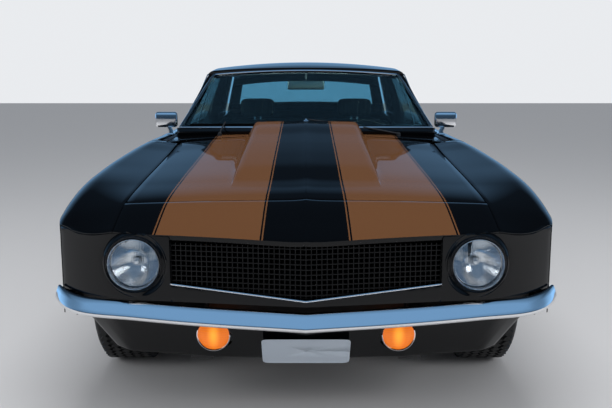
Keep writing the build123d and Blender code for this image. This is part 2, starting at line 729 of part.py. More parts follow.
def firewall():
    """Wall between the engine and the cabin, with the pillars that carry the doors and the cowl."""
    wall = block((-642, 642), (FIREWALL, FIREWALL + PLATE), (FLOOR_Z, 862))
    above_floor = FLOOR_Z + PLATE + SEAT_GAP
    pillars = both([
        block((641, 868), (1502, 1555), (above_floor, 860)), block((655, 716), (1502, 1640), (800, 884)),
        block((FLOOR_HALF + SEAT_GAP, 868), (1502, 1555), (176, above_floor + 1)),
    ])
    return less(wall + pillars.solids(), TUNNEL_PASSAGE)


def rear_floor():
    """Step up under the rear seat and the floor over the rear axle and under the trunk."""
    step = block((-611, 611), (KICK_UP, KICK_UP + PLATE), (FLOOR_Z, REAR_FLOOR_Z + PLATE))
    wings = both(block((610, FLOOR_HALF), (KICK_UP, KICK_UP + PLATE), (FLOOR_Z, 264)))
    plate = block((-611, 611), (KICK_UP, LID_REAR + 9.5), (REAR_FLOOR_Z, REAR_FLOOR_Z + PLATE))
    return less(step + plate + wings.solids(), TUNNEL_PASSAGE)


def rockers():
    """Sills under the doors, each with two jacking pads."""
    sills = both(block((800, 896.5), (DOOR_FRONT - GAP / 2 + 0.3, DOOR_REAR + GAP / 2 - 0.3), (176, 262)))
    pads = both([block((822, 872), (s, s + 90), (166, 177)) for s in (1650, 2580)])
    return sills.solids()[0] + sills.solids()[1:] + pads.solids()


def inner_fenders():
    """Front wheelhouses and the aprons that join them to the firewall and the radiator frame."""
    cover = arch_cover(FRONT_AXLE, 452, 912, -6)
    apron = block((452, 460), (430.3, 1499.7), (430, 762))
    arch_z = TYRE_R + ARCH_RISE
    shape = cover + less(apron, rod(at(440, FRONT_AXLE, arch_z), at(470, FRONT_AXLE, arch_z), ARCH_R))
    return less(shape, block((440, 470), (FRONT_AXLE - 150, FRONT_AXLE + 150), (200, 560)))


def rear_wheelhouses():
    return arch_cover(REAR_AXLE, 611.3, 905, 8)


def parcel_shelf():
    """Deck panel between the back window and the lid, the shelf under the glass and its bulkhead."""
    half = DECK_HALF - SEAT_GAP
    rows = [(s, half, body_at(s).seam_z, body_at(s).seam_z + 13) for s in (3984, LID_FRONT)]
    deck = top_band(rows, 22)
    shelf = block((-half, half), (3425, 3990), (878, 888))
    riser = block((-half, half), (3984, 3994), (878, 934))
    bulkhead = block((-half, half), (3425, 3435), (REAR_FLOOR_Z + 12.3, 880))
    return deck + shelf + riser + bulkhead


def dashboard():
    """Padded dashboard with its cluster, heater box and the steering column."""
    points = [(1700, 872), (1960, 872), (1984, 850), (1984, 790), (1950, 700), (1900, 655), (1700, 655)]
    corners = [at(-638, s, z) for s, z in points]
    panel = extrude(Face(ring_of(corners)), amount=1276, dir=(1, 0, 0))
    heater = block((-330, 300), (1512.3, 1702), (640, 820))
    foot = at(COLUMN_X, *COLUMN_FOOT)
    slope = math.radians(COLUMN_SLOPE)
    way = Vector(0, math.cos(slope), math.sin(slope))
    return panel + heater + rod(foot + way * 14, foot + way * COLUMN_LENGTH, 23)


def steering_wheel():
    """Steering wheel with three spokes, on the end of its column."""
    slope = math.radians(COLUMN_SLOPE)
    way = Vector(0, math.cos(slope), math.sin(slope))
    hub = at(COLUMN_X, *COLUMN_FOOT) + way * (COLUMN_LENGTH + SEAT_GAP)
    plane = Plane(origin=hub + way * 32, z_dir=way, x_dir=(1, 0, 0))
    ring = plane * Torus(188, 13)
    centre = Solid.make_cylinder(34, 40, Plane(origin=hub, z_dir=way))
    shape = ring + centre
    for angle in (180, 0, 270):
        spoke = plane * Rot(0, 0, angle) * Pos(105, 0, 0) * Box(168, 26, 7)
        shape = shape + spoke
    return shape


def seat_part(points, x_low, x_high, round_edge):
    """A cushion with rounded edges from its side view."""
    corners = [at(x_low, s, z) for s, z in points]
    solid = extrude(Face(ring_of(corners)), amount=x_high - x_low, dir=(1, 0, 0))
    return fillet(solid.edges(), radius=round_edge)


def front_seats():
    """Bucket seats with their bases and head restraints."""
    base = block((170, 545), (2300, 2700), (FLOOR_Z + 12.3, 330))
    cushion = seat_part([(2240, 320), (2760, 300), (2760, 430), (2240, 470)], 135, 580, 32)
    back = seat_part([(2700, 330), (2800, 330), (2925, 930), (2845, 940)], 135, 580, 28)
    rest = seat_part([(2862, 960), (2928, 955), (2940, 1075), (2882, 1082)], 215, 445, 18)
    stem = block((305, 355), (2882, 2902), (900, 985))
    return both(base + cushion + back + rest + stem)


def rear_seat():
    """Rear bench: cushion and back."""
    cushion = seat_part([(2962, 517.5), (3390, 517.5), (3390, 600), (2962, 625)], -560, 560, 28)
    back = seat_part([(3290, 560), (3424, 560), (3424, 874), (3368, 874)], -560, 560, 22)
    return cushion + back


def engine():
    return block((-280, 280), (690, 1350), (300, 772))


def radiator():
    """Radiator frame with its core."""
    frame = less(block((-640, 640), (400, 430), (295.3, 762)), block((-330, 330), (380, 440), (330, 720)))
    core = block((-345, 345), (386, 424), (318, 732))
    return frame + core


def subframe():
    """Front frame rails, the cross member under the engine, and the wishbones on their towers."""
    rail = block((340, 420), (300, 1480), (215, 295)) + block((340, 420), (1400, 1480), (125, 295))
    rail = rail + block((340, 420), (1400, 1900), (125, FLOOR_Z - 0.3))
    tower = block((380, 440), (875, 995), (290, 470))
    shape = rail + tower

    def wishbone(z_low, z_high, root_x, root_half):
        points = [at(root_x, FRONT_AXLE - root_half, z_low), at(KINGPIN_X + 18, FRONT_AXLE - 20, z_low),
                  at(KINGPIN_X + 18, FRONT_AXLE + 20, z_low), at(root_x, FRONT_AXLE + root_half, z_low)]
        face = Face(ring_of(points))
        arm = extrude(face, amount=z_high - z_low, dir=(0, 0, 1))
        window = [at(root_x + 60, FRONT_AXLE - root_half + 48, z_low), at(620, FRONT_AXLE - 12, z_low),
                  at(620, FRONT_AXLE + 12, z_low), at(root_x + 60, FRONT_AXLE + root_half - 48, z_low)]
        window = Face(ring_of(window))
        arm = less(arm, extrude(window, amount=z_high - z_low, dir=(0, 0, 1)))
        pin = rod(at(KINGPIN_X, FRONT_AXLE, z_low - 50), at(KINGPIN_X, FRONT_AXLE, z_high + 50), PIN_R + BORE_CLEARANCE)
        return less(arm, pin)

    low, high = BALL_Z
    shape = shape + wishbone(low - 12, low + 12, 400, 110) + wishbone(high - 9, high + 9, 420, 58)
    cross = block((-400, 400), (875, 995), (218, 299.7))
    front = block((-345, 345), (306, 366), (222, 258))
    return shape + mirrored(shape) + cross + front


def knuckle():
    """Steering knuckle, left: upright, pins, spindle and steering arm."""
    low, high = BALL_Z
    wheel_x = FRONT_TRACK / 2
    upright = block((KINGPIN_X - 14, KINGPIN_X + 13), (FRONT_AXLE - 24, FRONT_AXLE + 24), (low + 12.3, high - 9.3))
    pins = rod(at(KINGPIN_X, FRONT_AXLE, low - 14), at(KINGPIN_X, FRONT_AXLE, high + 11), PIN_R)
    spindle = rod(at(KINGPIN_X, FRONT_AXLE, TYRE_R), at(wheel_x + 5.5, FRONT_AXLE, TYRE_R), BORE_R)
    arm = block((KINGPIN_X - 12, KINGPIN_X + 10), (FRONT_AXLE + 10, FRONT_AXLE + 112), (250, 272))
    return upright + pins + spindle + arm


def rear_axle():
    """Rear axle with its differential and leaf springs."""
    wheel_x = REAR_TRACK / 2
    tube_half = rod(at(0, REAR_AXLE, TYRE_R), at(wheel_x - 44, REAR_AXLE, TYRE_R), 38)
    spindle = rod(at(wheel_x - 60, REAR_AXLE, TYRE_R), at(wheel_x + 5.5, REAR_AXLE, TYRE_R), BORE_R)
    spring_low = [at(500, 3110, 330), at(500, REAR_AXLE, 262), at(500, 4290, 352)]
    spring_high = [p + Vector(0, 0, 26) for p in spring_low]
    leaf = extrude(
        Face(Wire([arc(*spring_low), arc(*spring_high), *(line(spring_low[i], spring_high[i]) for i in (0, 2))])),
        amount=62, dir=(1, 0, 0),
    )
    perch = block((498, 564), (REAR_AXLE - 48, REAR_AXLE + 48), (284, TYRE_R + 4))
    hanger_top = REAR_FLOOR_Z - SEAT_GAP
    hangers = block((500, 562), (3090, 3135), (328, hanger_top)) + block((500, 562), (4270, 4300), (352, hanger_top))
    half = tube_half + spindle + leaf + perch + hangers
    casing = rod(at(0, REAR_AXLE - 60, TYRE_R), at(0, REAR_AXLE + 95, TYRE_R), 112) + rod(
        at(0, REAR_AXLE - 150, TYRE_R - 4), at(0, REAR_AXLE, TYRE_R), 55
    )
    return half + mirrored(half) + casing


def driveline():
    """Gearbox and propeller shaft."""
    box = block((-100, 100), (1350.3, 1960), (190, 350))
    shaft_start = at(0, 1950, 262)
    shaft_end = at(0, REAR_AXLE - 150.3, TYRE_R - 4)
    bolted = rod(shaft_start, shaft_end, 36)
    return less(box + bolted, block((-200, 200), (REAR_AXLE - 150.2, REAR_AXLE), (100, 600)))


def exhaust():
    """Twin pipes with silencers, over the rear axle and out under the bumper."""
    points = [(255, 1150, 299.7), (255, 1150, 160), (255, 2460, 160), (400, 2950, 160), (400, 3180, 160),
              (400, 3520, 432), (400, 3840, 432), (400, 4120, 262), (400, 4716, 262)]
    path = FilletPolyline(*[at(*p) for p in points], radius=72)
    start = Plane(origin=path @ 0, z_dir=path % 0)
    pipe = sweep(start * Circle(28), path=path)
    silencer = fillet(block((165, 345), (1960, 2420), (112, FLOOR_Z - 0.3)).edges().filter_by(Axis.Y), radius=40)
    shape = pipe + silencer
    bore = rod(at(400, 4596, 262), at(400, 4730, 262), 25)
    return both(less(shape, bore))


def fuel_tank():
    tank = fillet(block((-345, 345), (4050, 4540), (236, 420)).edges().filter_by(Axis.X), radius=45)
    straps = both([block((190, 230), (4120, 4470), (418, REAR_FLOOR_Z - 0.3))])
    return tank + straps.solids()


def cabin_mirror():
    stalk = block((-8, 8), (2330, 2346), (1190, 1252))
    return fillet(block((-112, 112), (2336, 2352), (1150, 1206)).edges().filter_by(Axis.Y), radius=20) + stalk


def door_mirror():
    """Mirror on the door: a rounded head on a short stalk."""
    head = fillet(block((722, 846), (1930, 1968), (950, 1036)).edges().filter_by(Axis.Y), radius=22)
    head = fillet(head.faces().sort_by(Axis.Y)[0].edges(), radius=12)
    foot_z = body_at(1946).shoulder_z
    stalk = pillar(
        [(742, 1928, foot_z - 1), (762, 1928, foot_z - 1), (762, 1966, foot_z - 1), (742, 1966, foot_z - 1)],
        [(764, 1936, 955), (788, 1936, 955), (788, 1962, 955), (764, 1962, 955)],
    )
    return head + stalk


def licence_plate():
    """Blank front plate and the pad that holds it along the valance, which leans back below."""
    slope = math.atan2(PLATE_LEAN, PLATE_DROP)
    facing = (0, -math.cos(slope), -math.sin(slope))
    plane = Plane(origin=at(0, PLATE_TOP_STATION, PLATE_TOP_Z), x_dir=(1, 0, 0), z_dir=facing)
    width, height, thick = PLATE_SIZE
    plate = plane * Pos(0, -height / 2, 0) * Box(width, height, thick)
    pad = Box(width / 2, height / 2, PLATE_PAD, align=(Align.CENTER, Align.CENTER, Align.MAX))
    pad = plane * Pos(0, -height / 2, -thick / 2) * pad
    return plate + pad


def export(shape, name):
    """Write one piece's solids to its own file."""
    solids = solids_of(shape)
    shape = solids[0] if len(solids) == 1 else Compound(children=solids)
    shape.label = name
    export_step(shape, f"parts/{name}.step")


os.makedirs("parts", exist_ok=True)

front_fender = fender()
rear_quarter = quarter()
structure = [floor_pan(), firewall(), rear_floor(), rockers()]
cowl = cowl_panel()
header = header_panel()
roof_shape = roof()
nose = nose_panel()
bumper = front_bumper()
valance = front_valance()
shelf = parcel_shelf()
tail = tail_panel()
deck = deck_lid()

fenders = less(both(front_fender), *structure)
quarters = less(both(rear_quarter), *structure)
cowl = less(cowl, fenders, *structure)
nose = less(nose, fenders, header)
valance = less(valance, bumper, fenders)
roof_shape = less(roof_shape, cowl, quarters, shelf)
shelf = less(shelf, quarters)
tail = less(tail, quarters, *structure)
front_glass = less(glass_sheet(WINDSHIELD_BASE, WINDSHIELD_TOP, GLASS), roof_shape, cowl)
rear_glass = less(glass_sheet(BACKLIGHT_BASE, BACKLIGHT_TOP, GLASS), roof_shape, quarters, shelf)
quarter_pane = side_pane([(2766, 905), (3352, 905), (3112, 1231), (2766, 1237)])
quarter_pane = largest(less(quarter_pane, roof_shape, quarters))
door_pane = side_pane([(1938, 866), (2752, 866), (2752, 1236), (2478, 1229)])
wheelhouses_front = less(both(inner_fenders()), fenders, *structure)
wheelhouses_rear = less(both(rear_wheelhouses()), quarters, *structure)
left_door = largest(door())

for shape, name in zip(structure, ("floor_pan", "firewall", "rear_floor", "rockers")):
    export(shape, name)
export(fenders, "front_fenders")
export(header, "header_panel")
export(nose, "nose_panel")
export(cowl, "cowl_panel")
export(quarters, "quarter_panels")
export(roof_shape, "roof")
export(tail, "tail_panel")
export(shelf, "parcel_shelf")
export(bumper, "front_bumper")
export(less(rear_bumper(), quarters), "rear_bumper")
export(valance, "front_valance")
export(less(grille(), nose, header), "grille")
export(headlamps(), "headlamps")
export(lamp_bezels(), "lamp_bezels")
export(turn_lamps(), "turn_lamps")
export(tail_lamps(), "tail_lamps")
export(front_glass, "windshield")
export(rear_glass, "rear_window")
export(both(quarter_pane), "quarter_windows")
export(wheelhouses_front, "inner_fenders")
export(wheelhouses_rear, "rear_wheelhouses")
export(dashboard(), "dashboard")
export(front_seats(), "front_seats")
export(rear_seat(), "rear_seat")
export(engine(), "engine_block")
export(radiator(), "radiator")
export(subframe(), "front_subframe")
export(rear_axle(), "rear_axle")
export(driveline(), "driveline")
export(exhaust(), "exhaust")
export(fuel_tank(), "fuel_tank")
export(less(cabin_mirror(), roof_shape, front_glass), "cabin_mirror")
export(less(licence_plate(), valance), "licence_plate")

export(hood_shape(), "hood")
export(deck, "trunk_lid")
export(steering_wheel(), "steering_wheel")

door_glass = less(door_pane, left_door)
mirror_head = less(door_mirror(), left_door)
export(left_door, "door_left")
export(mirrored(left_door), "door_right")
export(door_glass, "door_glass_left")
export(mirrored(door_glass), "door_glass_right")
export(mirror_head, "door_mirror_left")
export(mirrored(mirror_head), "door_mirror_right")

left_knuckle = knuckle()
export(left_knuckle, "knuckle_left")
export(mirrored(left_knuckle), "knuckle_right")

rim_left, rim_right, tyre_shape = wheel_rim(1), wheel_rim(-1), tyre()
for end, track, axle in (("front", FRONT_TRACK, FRONT_AXLE), ("rear", REAR_TRACK, REAR_AXLE)):
    export(placed(rim_left, track / 2, axle, TYRE_R), f"wheel_{end}_left")
    export(placed(rim_right, -track / 2, axle, TYRE_R), f"wheel_{end}_right")
    export(placed(tyre_shape, track / 2, axle, TYRE_R), f"tyre_{end}_left")
    export(placed(tyre_shape, -track / 2, axle, TYRE_R), f"tyre_{end}_right")
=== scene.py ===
"""A black two-door hardtop with bronze hood stripes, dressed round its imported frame."""

import math

import bmesh
import bpy
from mathutils import Matrix, Vector


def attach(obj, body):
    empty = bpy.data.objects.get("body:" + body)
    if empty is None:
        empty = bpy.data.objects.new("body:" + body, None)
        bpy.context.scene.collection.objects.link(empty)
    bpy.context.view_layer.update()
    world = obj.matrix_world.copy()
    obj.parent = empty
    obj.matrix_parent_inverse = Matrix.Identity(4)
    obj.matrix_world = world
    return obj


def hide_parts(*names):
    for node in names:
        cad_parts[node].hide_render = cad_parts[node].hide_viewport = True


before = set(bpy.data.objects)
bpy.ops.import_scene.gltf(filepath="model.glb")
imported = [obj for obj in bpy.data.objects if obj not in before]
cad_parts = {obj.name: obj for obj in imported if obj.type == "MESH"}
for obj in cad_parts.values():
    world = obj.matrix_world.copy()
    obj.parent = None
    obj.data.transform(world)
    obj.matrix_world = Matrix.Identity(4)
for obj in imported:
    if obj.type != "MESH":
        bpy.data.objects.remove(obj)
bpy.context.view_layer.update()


# Floor, light and camera.
# A pale studio floor under an even white sky, with large soft lamps overhead and to both sides.
# The camera stands in front of the nose at standing eye height and looks a little down.
FLOOR_SIZE = 60.0
FLOOR_COLOUR = (0.62, 0.62, 0.63, 1.0)
SKY_SEEN = 0.86
SKY_LIGHT = 0.5
SKY_AHEAD = (0.08, 0.58)
SKY_AHEAD_RISE = (0.05, 0.55)
SKY_BEYOND = (1.10, 0.06)
SKY_BEYOND_RISE = (0.06, 0.46)
SKY_SIDES = (-0.35, 0.35)
SKY_INDOORS = 0.22
SKY_TINT = (0.95, 0.97, 1.0, 1.0)
SKY_MIRRORED_TINT = (0.30, 0.60, 1.0, 1.0)
CAMERA_PLACE = (0.0, -4.735, 1.238)
CAMERA_PITCH = math.radians(90 - 9.55)
PHOTO_WIDTH = 612
FOCAL_PIXELS = 765
SENSOR = 36.0

scene = bpy.context.scene
scene.view_settings.view_transform = "Standard"


def fill_inputs(node, values):
    """Sets a node's inputs, given by name or number, or links them to a socket or another node."""
    for socket, value in dict(values).items():
        if isinstance(value, bpy.types.Node):
            value = value.outputs[0]
        if isinstance(value, bpy.types.NodeSocket):
            node.id_data.links.new(value, node.inputs[socket])
        else:
            node.inputs[socket].default_value = value


def adder(tree):
    """A way to add nodes to a tree, each with its settings and inputs."""
    def add(kind, values=(), **settings):
        node = tree.nodes.new(kind)
        for key, value in settings.items():
            setattr(node, key, value)
        fill_inputs(node, values)
        return node

    return add


def new_material(name):
    """A material, its shader and a way to add nodes to it."""
    material = bpy.data.materials.new(name)
    material.use_nodes = True
    return material, material.node_tree.nodes["Principled BSDF"], adder(material.node_tree)


def mixed(add, share, first, second, kind="RGBA"):
    """A mix of two colours or, with kind FLOAT, of two numbers."""
    return add("ShaderNodeMix", {"Factor": share, "A": first, "B": second}, data_type=kind).outputs["Result"]


floor_material, floor_shader, _ = new_material("studio_floor")
fill_inputs(floor_shader, {"Base Color": FLOOR_COLOUR, "Roughness": 0.9})
floor_mesh = bpy.data.meshes.new("studio_floor")
half = FLOOR_SIZE / 2
corners = [(-half, -half, 0), (half, -half, 0), (half, half, 0), (-half, half, 0)]
floor_mesh.from_pydata(corners, [], [(0, 1, 2, 3)])
floor_mesh.materials.append(floor_material)
floor = bpy.data.objects.new("studio_floor", floor_mesh)
scene.collection.objects.link(floor)

world = bpy.data.worlds.new("studio_sky")
scene.world = world
world.use_nodes = True
world.node_tree.nodes.clear()
sky = adder(world.node_tree)
rays = sky("ShaderNodeLightPath").outputs
way = sky("ShaderNodeSeparateXYZ", {"Vector": sky("ShaderNodeTexCoord").outputs["Generated"]}).outputs


def graded(add, value, start, end, **settings):
    """Runs from end's first number to its second while the value crosses start's two."""
    return add("ShaderNodeMapRange", {
        "Value": value, "From Min": start[0], "From Max": start[1], "To Min": end[0], "To Max": end[1],
    }, **settings).outputs["Result"]


# What the paint and chrome mirror: a sky that is bright low down beyond the car and dark above it,
# and the other way round in front of the car
sky_ahead = graded(sky, way["Z"], SKY_AHEAD_RISE, SKY_AHEAD)
sky_beyond = graded(sky, way["Z"], SKY_BEYOND_RISE, SKY_BEYOND)
mirrored = mixed(sky, graded(sky, way["Y"], SKY_SIDES, (0.0, 1.0)), sky_ahead, sky_beyond, "FLOAT")
lit = mixed(sky, rays["Is Glossy Ray"], SKY_LIGHT, mirrored, "FLOAT")
# What comes in through the glass lights the cabin softly; a straight look through it shows the sky
bounces = sky("ShaderNodeMath", {0: rays["Diffuse Depth"], 1: rays["Glossy Depth"]}, operation="ADD")
behind_glass = graded(sky, bounces, (0.0, 1.0), (SKY_SEEN, SKY_INDOORS))
through = mixed(sky, rays["Is Transmission Ray"], lit, behind_glass, "FLOAT")
seen = mixed(sky, rays["Is Camera Ray"], through, SKY_SEEN, "FLOAT")
tint = mixed(sky, rays["Is Glossy Ray"], SKY_TINT, SKY_MIRRORED_TINT)
backdrop = sky("ShaderNodeBackground", {"Color": tint, "Strength": seen})
sky("ShaderNodeOutputWorld", {"Surface": backdrop.outputs["Background"]})

# Soft lamps: name, place, aim, size across and along, power
STUDIO_LAMPS = (
    ("overhead", (0.0, -1.6, 5.4), (0.0, -0.4, 0.6), 3.6, 3.6, 150),
    ("left_front", (5.4, -4.6, 3.0), (0.0, -1.0, 0.5), 2.6, 2.2, 130),
    ("right_front", (-5.6, -4.2, 2.8), (0.0, -1.0, 0.5), 2.6, 2.2, 100),
)
for name, spot, aim, across, along, power in STUDIO_LAMPS:
    lamp = bpy.data.lights.new(name, "AREA")
    lamp.shape = "RECTANGLE"
    lamp.size, lamp.size_y, lamp.energy = across, along, power
    holder = bpy.data.objects.new(name, lamp)
    holder.visible_glossy = False
    holder.location = spot
    holder.rotation_euler = (Vector(aim) - Vector(spot)).to_track_quat("-Z", "Y").to_euler()
    scene.collection.objects.link(holder)

camera_data = bpy.data.cameras.new("photo_view")
camera_data.sensor_width = SENSOR
camera_data.lens = FOCAL_PIXELS / PHOTO_WIDTH * SENSOR
camera = bpy.data.objects.new("photo_view", camera_data)
camera.location = CAMERA_PLACE
camera.rotation_euler = (CAMERA_PITCH, 0.0, 0.0)
scene.collection.objects.link(camera)
scene.camera = camera


# Front fenders.
# Pressed steel sides of the nose, from the hood's seam over a rounded shoulder to the rocker,
# cut round for the wheel and swept back at the front. Sprayed in deep black enamel.
NOSE_Y = -2.365
FRONT_AXLE = 0.935
ARCH_RADIUS = 0.372
ARCH_CENTRE = 0.339
FENDER_END = 1.557
FENDER_LOW = 0.352
FENDER_RISE = (0.283, 0.078)
FENDER_ROWS = (24, 14)
NOSE_END = 0.866
SHEET = 0.024

# Half sections of the body: station behind the nose, then width and height
# of the top seam, the shoulder, the side, the side crease and the sill
SECTIONS = (
    (0.000, 0.650, 0.668, 0.800, 0.612, 0.880, 0.545, 0.885, 0.480, 0.868, 0.330),
    (0.150, 0.650, 0.727, 0.805, 0.672, 0.890, 0.600, 0.897, 0.540, 0.876, 0.325),
    (0.330, 0.650, 0.785, 0.815, 0.762, 0.905, 0.665, 0.913, 0.605, 0.885, 0.320),
    (0.600, 0.650, 0.817, 0.825, 0.822, 0.917, 0.722, 0.925, 0.650, 0.895, 0.290),
    (0.935, 0.650, 0.845, 0.825, 0.855, 0.924, 0.742, 0.932, 0.665, 0.905, 0.240),
    (1.300, 0.652, 0.874, 0.798, 0.886, 0.915, 0.765, 0.930, 0.675, 0.905, 0.190),
    (1.560, 0.655, 0.897, 0.762, 0.908, 0.900, 0.785, 0.922, 0.682, 0.898, 0.176),
    (2.000, 0.655, 0.905, 0.750, 0.915, 0.893, 0.800, 0.918, 0.690, 0.894, 0.174),
    (2.760, 0.600, 0.915, 0.752, 0.925, 0.893, 0.812, 0.918, 0.695, 0.894, 0.174),
    (3.250, 0.600, 0.940, 0.765, 0.955, 0.908, 0.835, 0.930, 0.700, 0.902, 0.178),
    (3.678, 0.600, 0.945, 0.775, 0.957, 0.915, 0.845, 0.938, 0.700, 0.905, 0.250),
    (4.250, 0.600, 0.930, 0.765, 0.938, 0.895, 0.825, 0.918, 0.690, 0.885, 0.330),
    (4.730, 0.600, 0.900, 0.745, 0.902, 0.862, 0.790, 0.885, 0.665, 0.850, 0.390),
)


def blended(rows, station):
    """The row of a table at a station, blended smoothly between its neighbours."""
    index = 0
    for k in range(len(rows) - 1):
        if rows[k][0] <= station:
            index = k
    low, high = rows[index], rows[index + 1]
    before, after = rows[max(index - 1, 0)], rows[min(index + 2, len(rows) - 1)]
    span = high[0] - low[0]
    t = (station - low[0]) / span
    result = []
    for a, b, c, d in list(zip(before, low, high, after))[1:]:
        rise = (c - a) / (high[0] - before[0]) * span
        fall = (d - b) / (after[0] - low[0]) * span
        result.append(
            (2 * t**3 - 3 * t**2 + 1) * b + (t**3 - 2 * t**2 + t) * rise
            + (3 * t**2 - 2 * t**3) * c + (t**3 - t**2) * fall
        )
    return result


def top_of_side(station, share):
    """Width and height on the skin from the seam (share 0) over the shoulder (1) to the side (2)."""
    seam_x, seam_z, shoulder_x, shoulder_z, side_x, side_z = blended(SECTIONS, station)[:6]
    if share <= 1:
        return seam_x + (shoulder_x - seam_x) * share, seam_z + (shoulder_z - seam_z) * share
    turn = (share - 1) * math.pi / 2
    return (
        shoulder_x + (side_x - shoulder_x) * math.sin(turn),
        side_z + (shoulder_z - side_z) * math.cos(turn),
    )


def side_width(station, height):
    """Width of the skin at a height below the side line: flat to the crease, then tucked in."""
    side_x, side_z, crease_x, crease_z, sill_x, sill_z = blended(SECTIONS, station)[4:]
    if height >= crease_z:
        return crease_x + (side_x - crease_x) * (height - crease_z) / (side_z - crease_z)
    tuck, drop = crease_x - sill_x, crease_z - sill_z
    radius = (tuck**2 + drop**2) / (2 * tuck)
    return crease_x - radius + math.sqrt(radius**2 - (crease_z - height) ** 2)


def circle_through(first, middle, last):
    """Centre and radius of the circle through three points in plan."""
    (ax, ay), (bx, by), (cx, cy) = first, middle, last
    twice_area = 2 * (ax * (by - cy) + bx * (cy - ay) + cx * (ay - by))
    a2, b2, c2 = ax**2 + ay**2, bx**2 + by**2, cx**2 + cy**2
    x = (a2 * (by - cy) + b2 * (cy - ay) + c2 * (ay - by)) / twice_area
    y = (a2 * (cx - bx) + b2 * (ax - cx) + c2 * (bx - ax)) / twice_area
    return x, y, math.hypot(ax - x, ay - y)


# Plan of the nose's leading edge, as widths and stations: the tip, the lamp's start, a point
# on the bend, the corner and where it meets the side
NOSE_PLAN = ((0.0, 0.030), (0.500, 0.105), (0.720, 0.168), (0.868, 0.275), (0.926, 0.480))
NOSE_BEND = circle_through(*NOSE_PLAN[1:4])


def nose_station(width):
    """Station of the nose's edge, seen in plan, at a width: a line, an arc round the corner, a line."""
    tip, lamp, _, corner, side = NOSE_PLAN
    width = abs(width)
    if lamp[0] < width < corner[0]:
        x, y, radius = NOSE_BEND
        return y - math.sqrt(radius**2 - (width - x) ** 2)
    start, end = (tip, lamp) if width <= lamp[0] else (corner, side)
    return start[1] + (end[1] - start[1]) * (width - start[0]) / (end[0] - start[0])


def place(width, station, height):
    return (width, NOSE_Y + station, height)


def spread(start, end, steps):
    """Evenly spaced values from start to end, both included."""
    return [start + (end - start) * k / steps for k in range(steps + 1)]


def away_from_middle(point):
    """Outwards for a body side: sideways and up, away from the car's middle line."""
    return (math.copysign(1.0, point.x), 0.0, 0.35)


def both_sides(grids):
    """Grids of the left side and their mirror images on the right."""
    return grids + [[[(-x, y, z) for x, y, z in row] for row in grid] for grid in grids]


def new_piece(name, mesh, materials):
    """Turns a mesh into an object of the scene."""
    data = bpy.data.meshes.new(name)
    mesh.to_mesh(data)
    mesh.free()
    for material in materials:
        data.materials.append(material)
    piece = bpy.data.objects.new(name, data)
    scene.collection.objects.link(piece)
    return piece


def ease_edges(piece, width, segments, degrees):
    """Rounds the edges of a piece that turn by more than an angle."""
    rounding = piece.modifiers.new("edges", "BEVEL")
    rounding.width = width
    rounding.segments = segments
    rounding.limit_method = "ANGLE"
    rounding.angle_limit = math.radians(degrees)


def sheet_piece(name, grids, material, thickness=SHEET, bevel=0.0016, outward=away_from_middle):
    """A smooth pressed piece from grids of points, joined where they meet, given a thickness inwards."""
    mesh = bmesh.new()
    for grid in grids:
        rows = [[mesh.verts.new(p) for p in row] for row in grid]
        faces = []
        for upper, lower in zip(rows, rows[1:]):
            faces += [mesh.faces.new(corners) for corners in zip(upper, upper[1:], lower[1:], lower)]
        for face in faces:
            face.normal_update()
        facing = sum(f.normal.dot(Vector(outward(f.calc_center_median()))) * f.calc_area() for f in faces)
        if facing < 0:
            bmesh.ops.reverse_faces(mesh, faces=faces)
    bmesh.ops.remove_doubles(mesh, verts=mesh.verts, dist=0.0002)
    bmesh.ops.dissolve_degenerate(mesh, edges=mesh.edges, dist=0.0001)
    for face in mesh.faces:
        face.smooth = True
    piece = new_piece(name, mesh, [material])
    if thickness:
        wall = piece.modifiers.new("wall", "SOLIDIFY")
        wall.thickness = thickness
        wall.offset = -1.0
        wall.use_even_offset = True
    if bevel:
        ease_edges(piece, bevel, 2, 40)
    return piece


def enamel(name, colour, roughness=0.16, coat=0.6):
    """Sprayed enamel: a coat over its colour, with faint orange peel and dust that dulls it in patches."""
    material, shader, add = new_material(name)
    where = add("ShaderNodeTexCoord").outputs["Object"]
    dust = add("ShaderNodeTexNoise", {"Vector": where, "Scale": 3.0, "Detail": 6.0}).outputs["Fac"]
    dull = graded(add, dust, (0.35, 0.7), (roughness, roughness + 0.12))
    peel = add("ShaderNodeTexNoise", {"Vector": where, "Scale": 220.0, "Detail": 2.0})
    bump = add("ShaderNodeBump", {"Height": peel.outputs["Fac"], "Strength": 0.04, "Distance": 0.0006})
    fill_inputs(shader, {
        "Base Color": (*colour, 1.0), "Specular IOR Level": 0.0, "Coat Weight": coat,
        "Coat Roughness": 0.03, "Roughness": dull, "Normal": bump.outputs["Normal"],
    })
    return material


BLACK_ENAMEL = (0.0016, 0.0018, 0.0024)
black_enamel = enamel("black_enamel", BLACK_ENAMEL)


def side_point(station, row, top_rows, side_rows, low):
    """Width and height on a body side: rows run over its top first, then down to its lower edge."""
    if row <= top_rows:
        return top_of_side(station, 2 * row / top_rows)
    side_z = blended(SECTIONS, station)[5]
    height = side_z + (low - side_z) * (row - top_rows) / side_rows
    return side_width(station, height), height


def low_edge(station, axle, ahead, behind):
    """Height of a side's lower edge: round the wheel opening, or the height ahead or behind it."""
    reach = abs(station - axle)
    if reach < ARCH_RADIUS:
        return ARCH_CENTRE + math.sqrt(ARCH_RADIUS**2 - reach**2)
    return ahead if station < axle else behind


def fender_point(station, row):
    climb = min(1.0, (FRONT_AXLE - ARCH_RADIUS - station) / FENDER_RISE[0])
    low = low_edge(station, FRONT_AXLE, FENDER_LOW + FENDER_RISE[1] * climb, ARCH_CENTRE)
    return side_point(station, row, *FENDER_ROWS, low)


def arch_stations(axle):
    """Stations over a wheel opening, from its front end to its rear end."""
    return [axle - ARCH_RADIUS * math.cos(math.pi * k / 32) for k in range(33)]


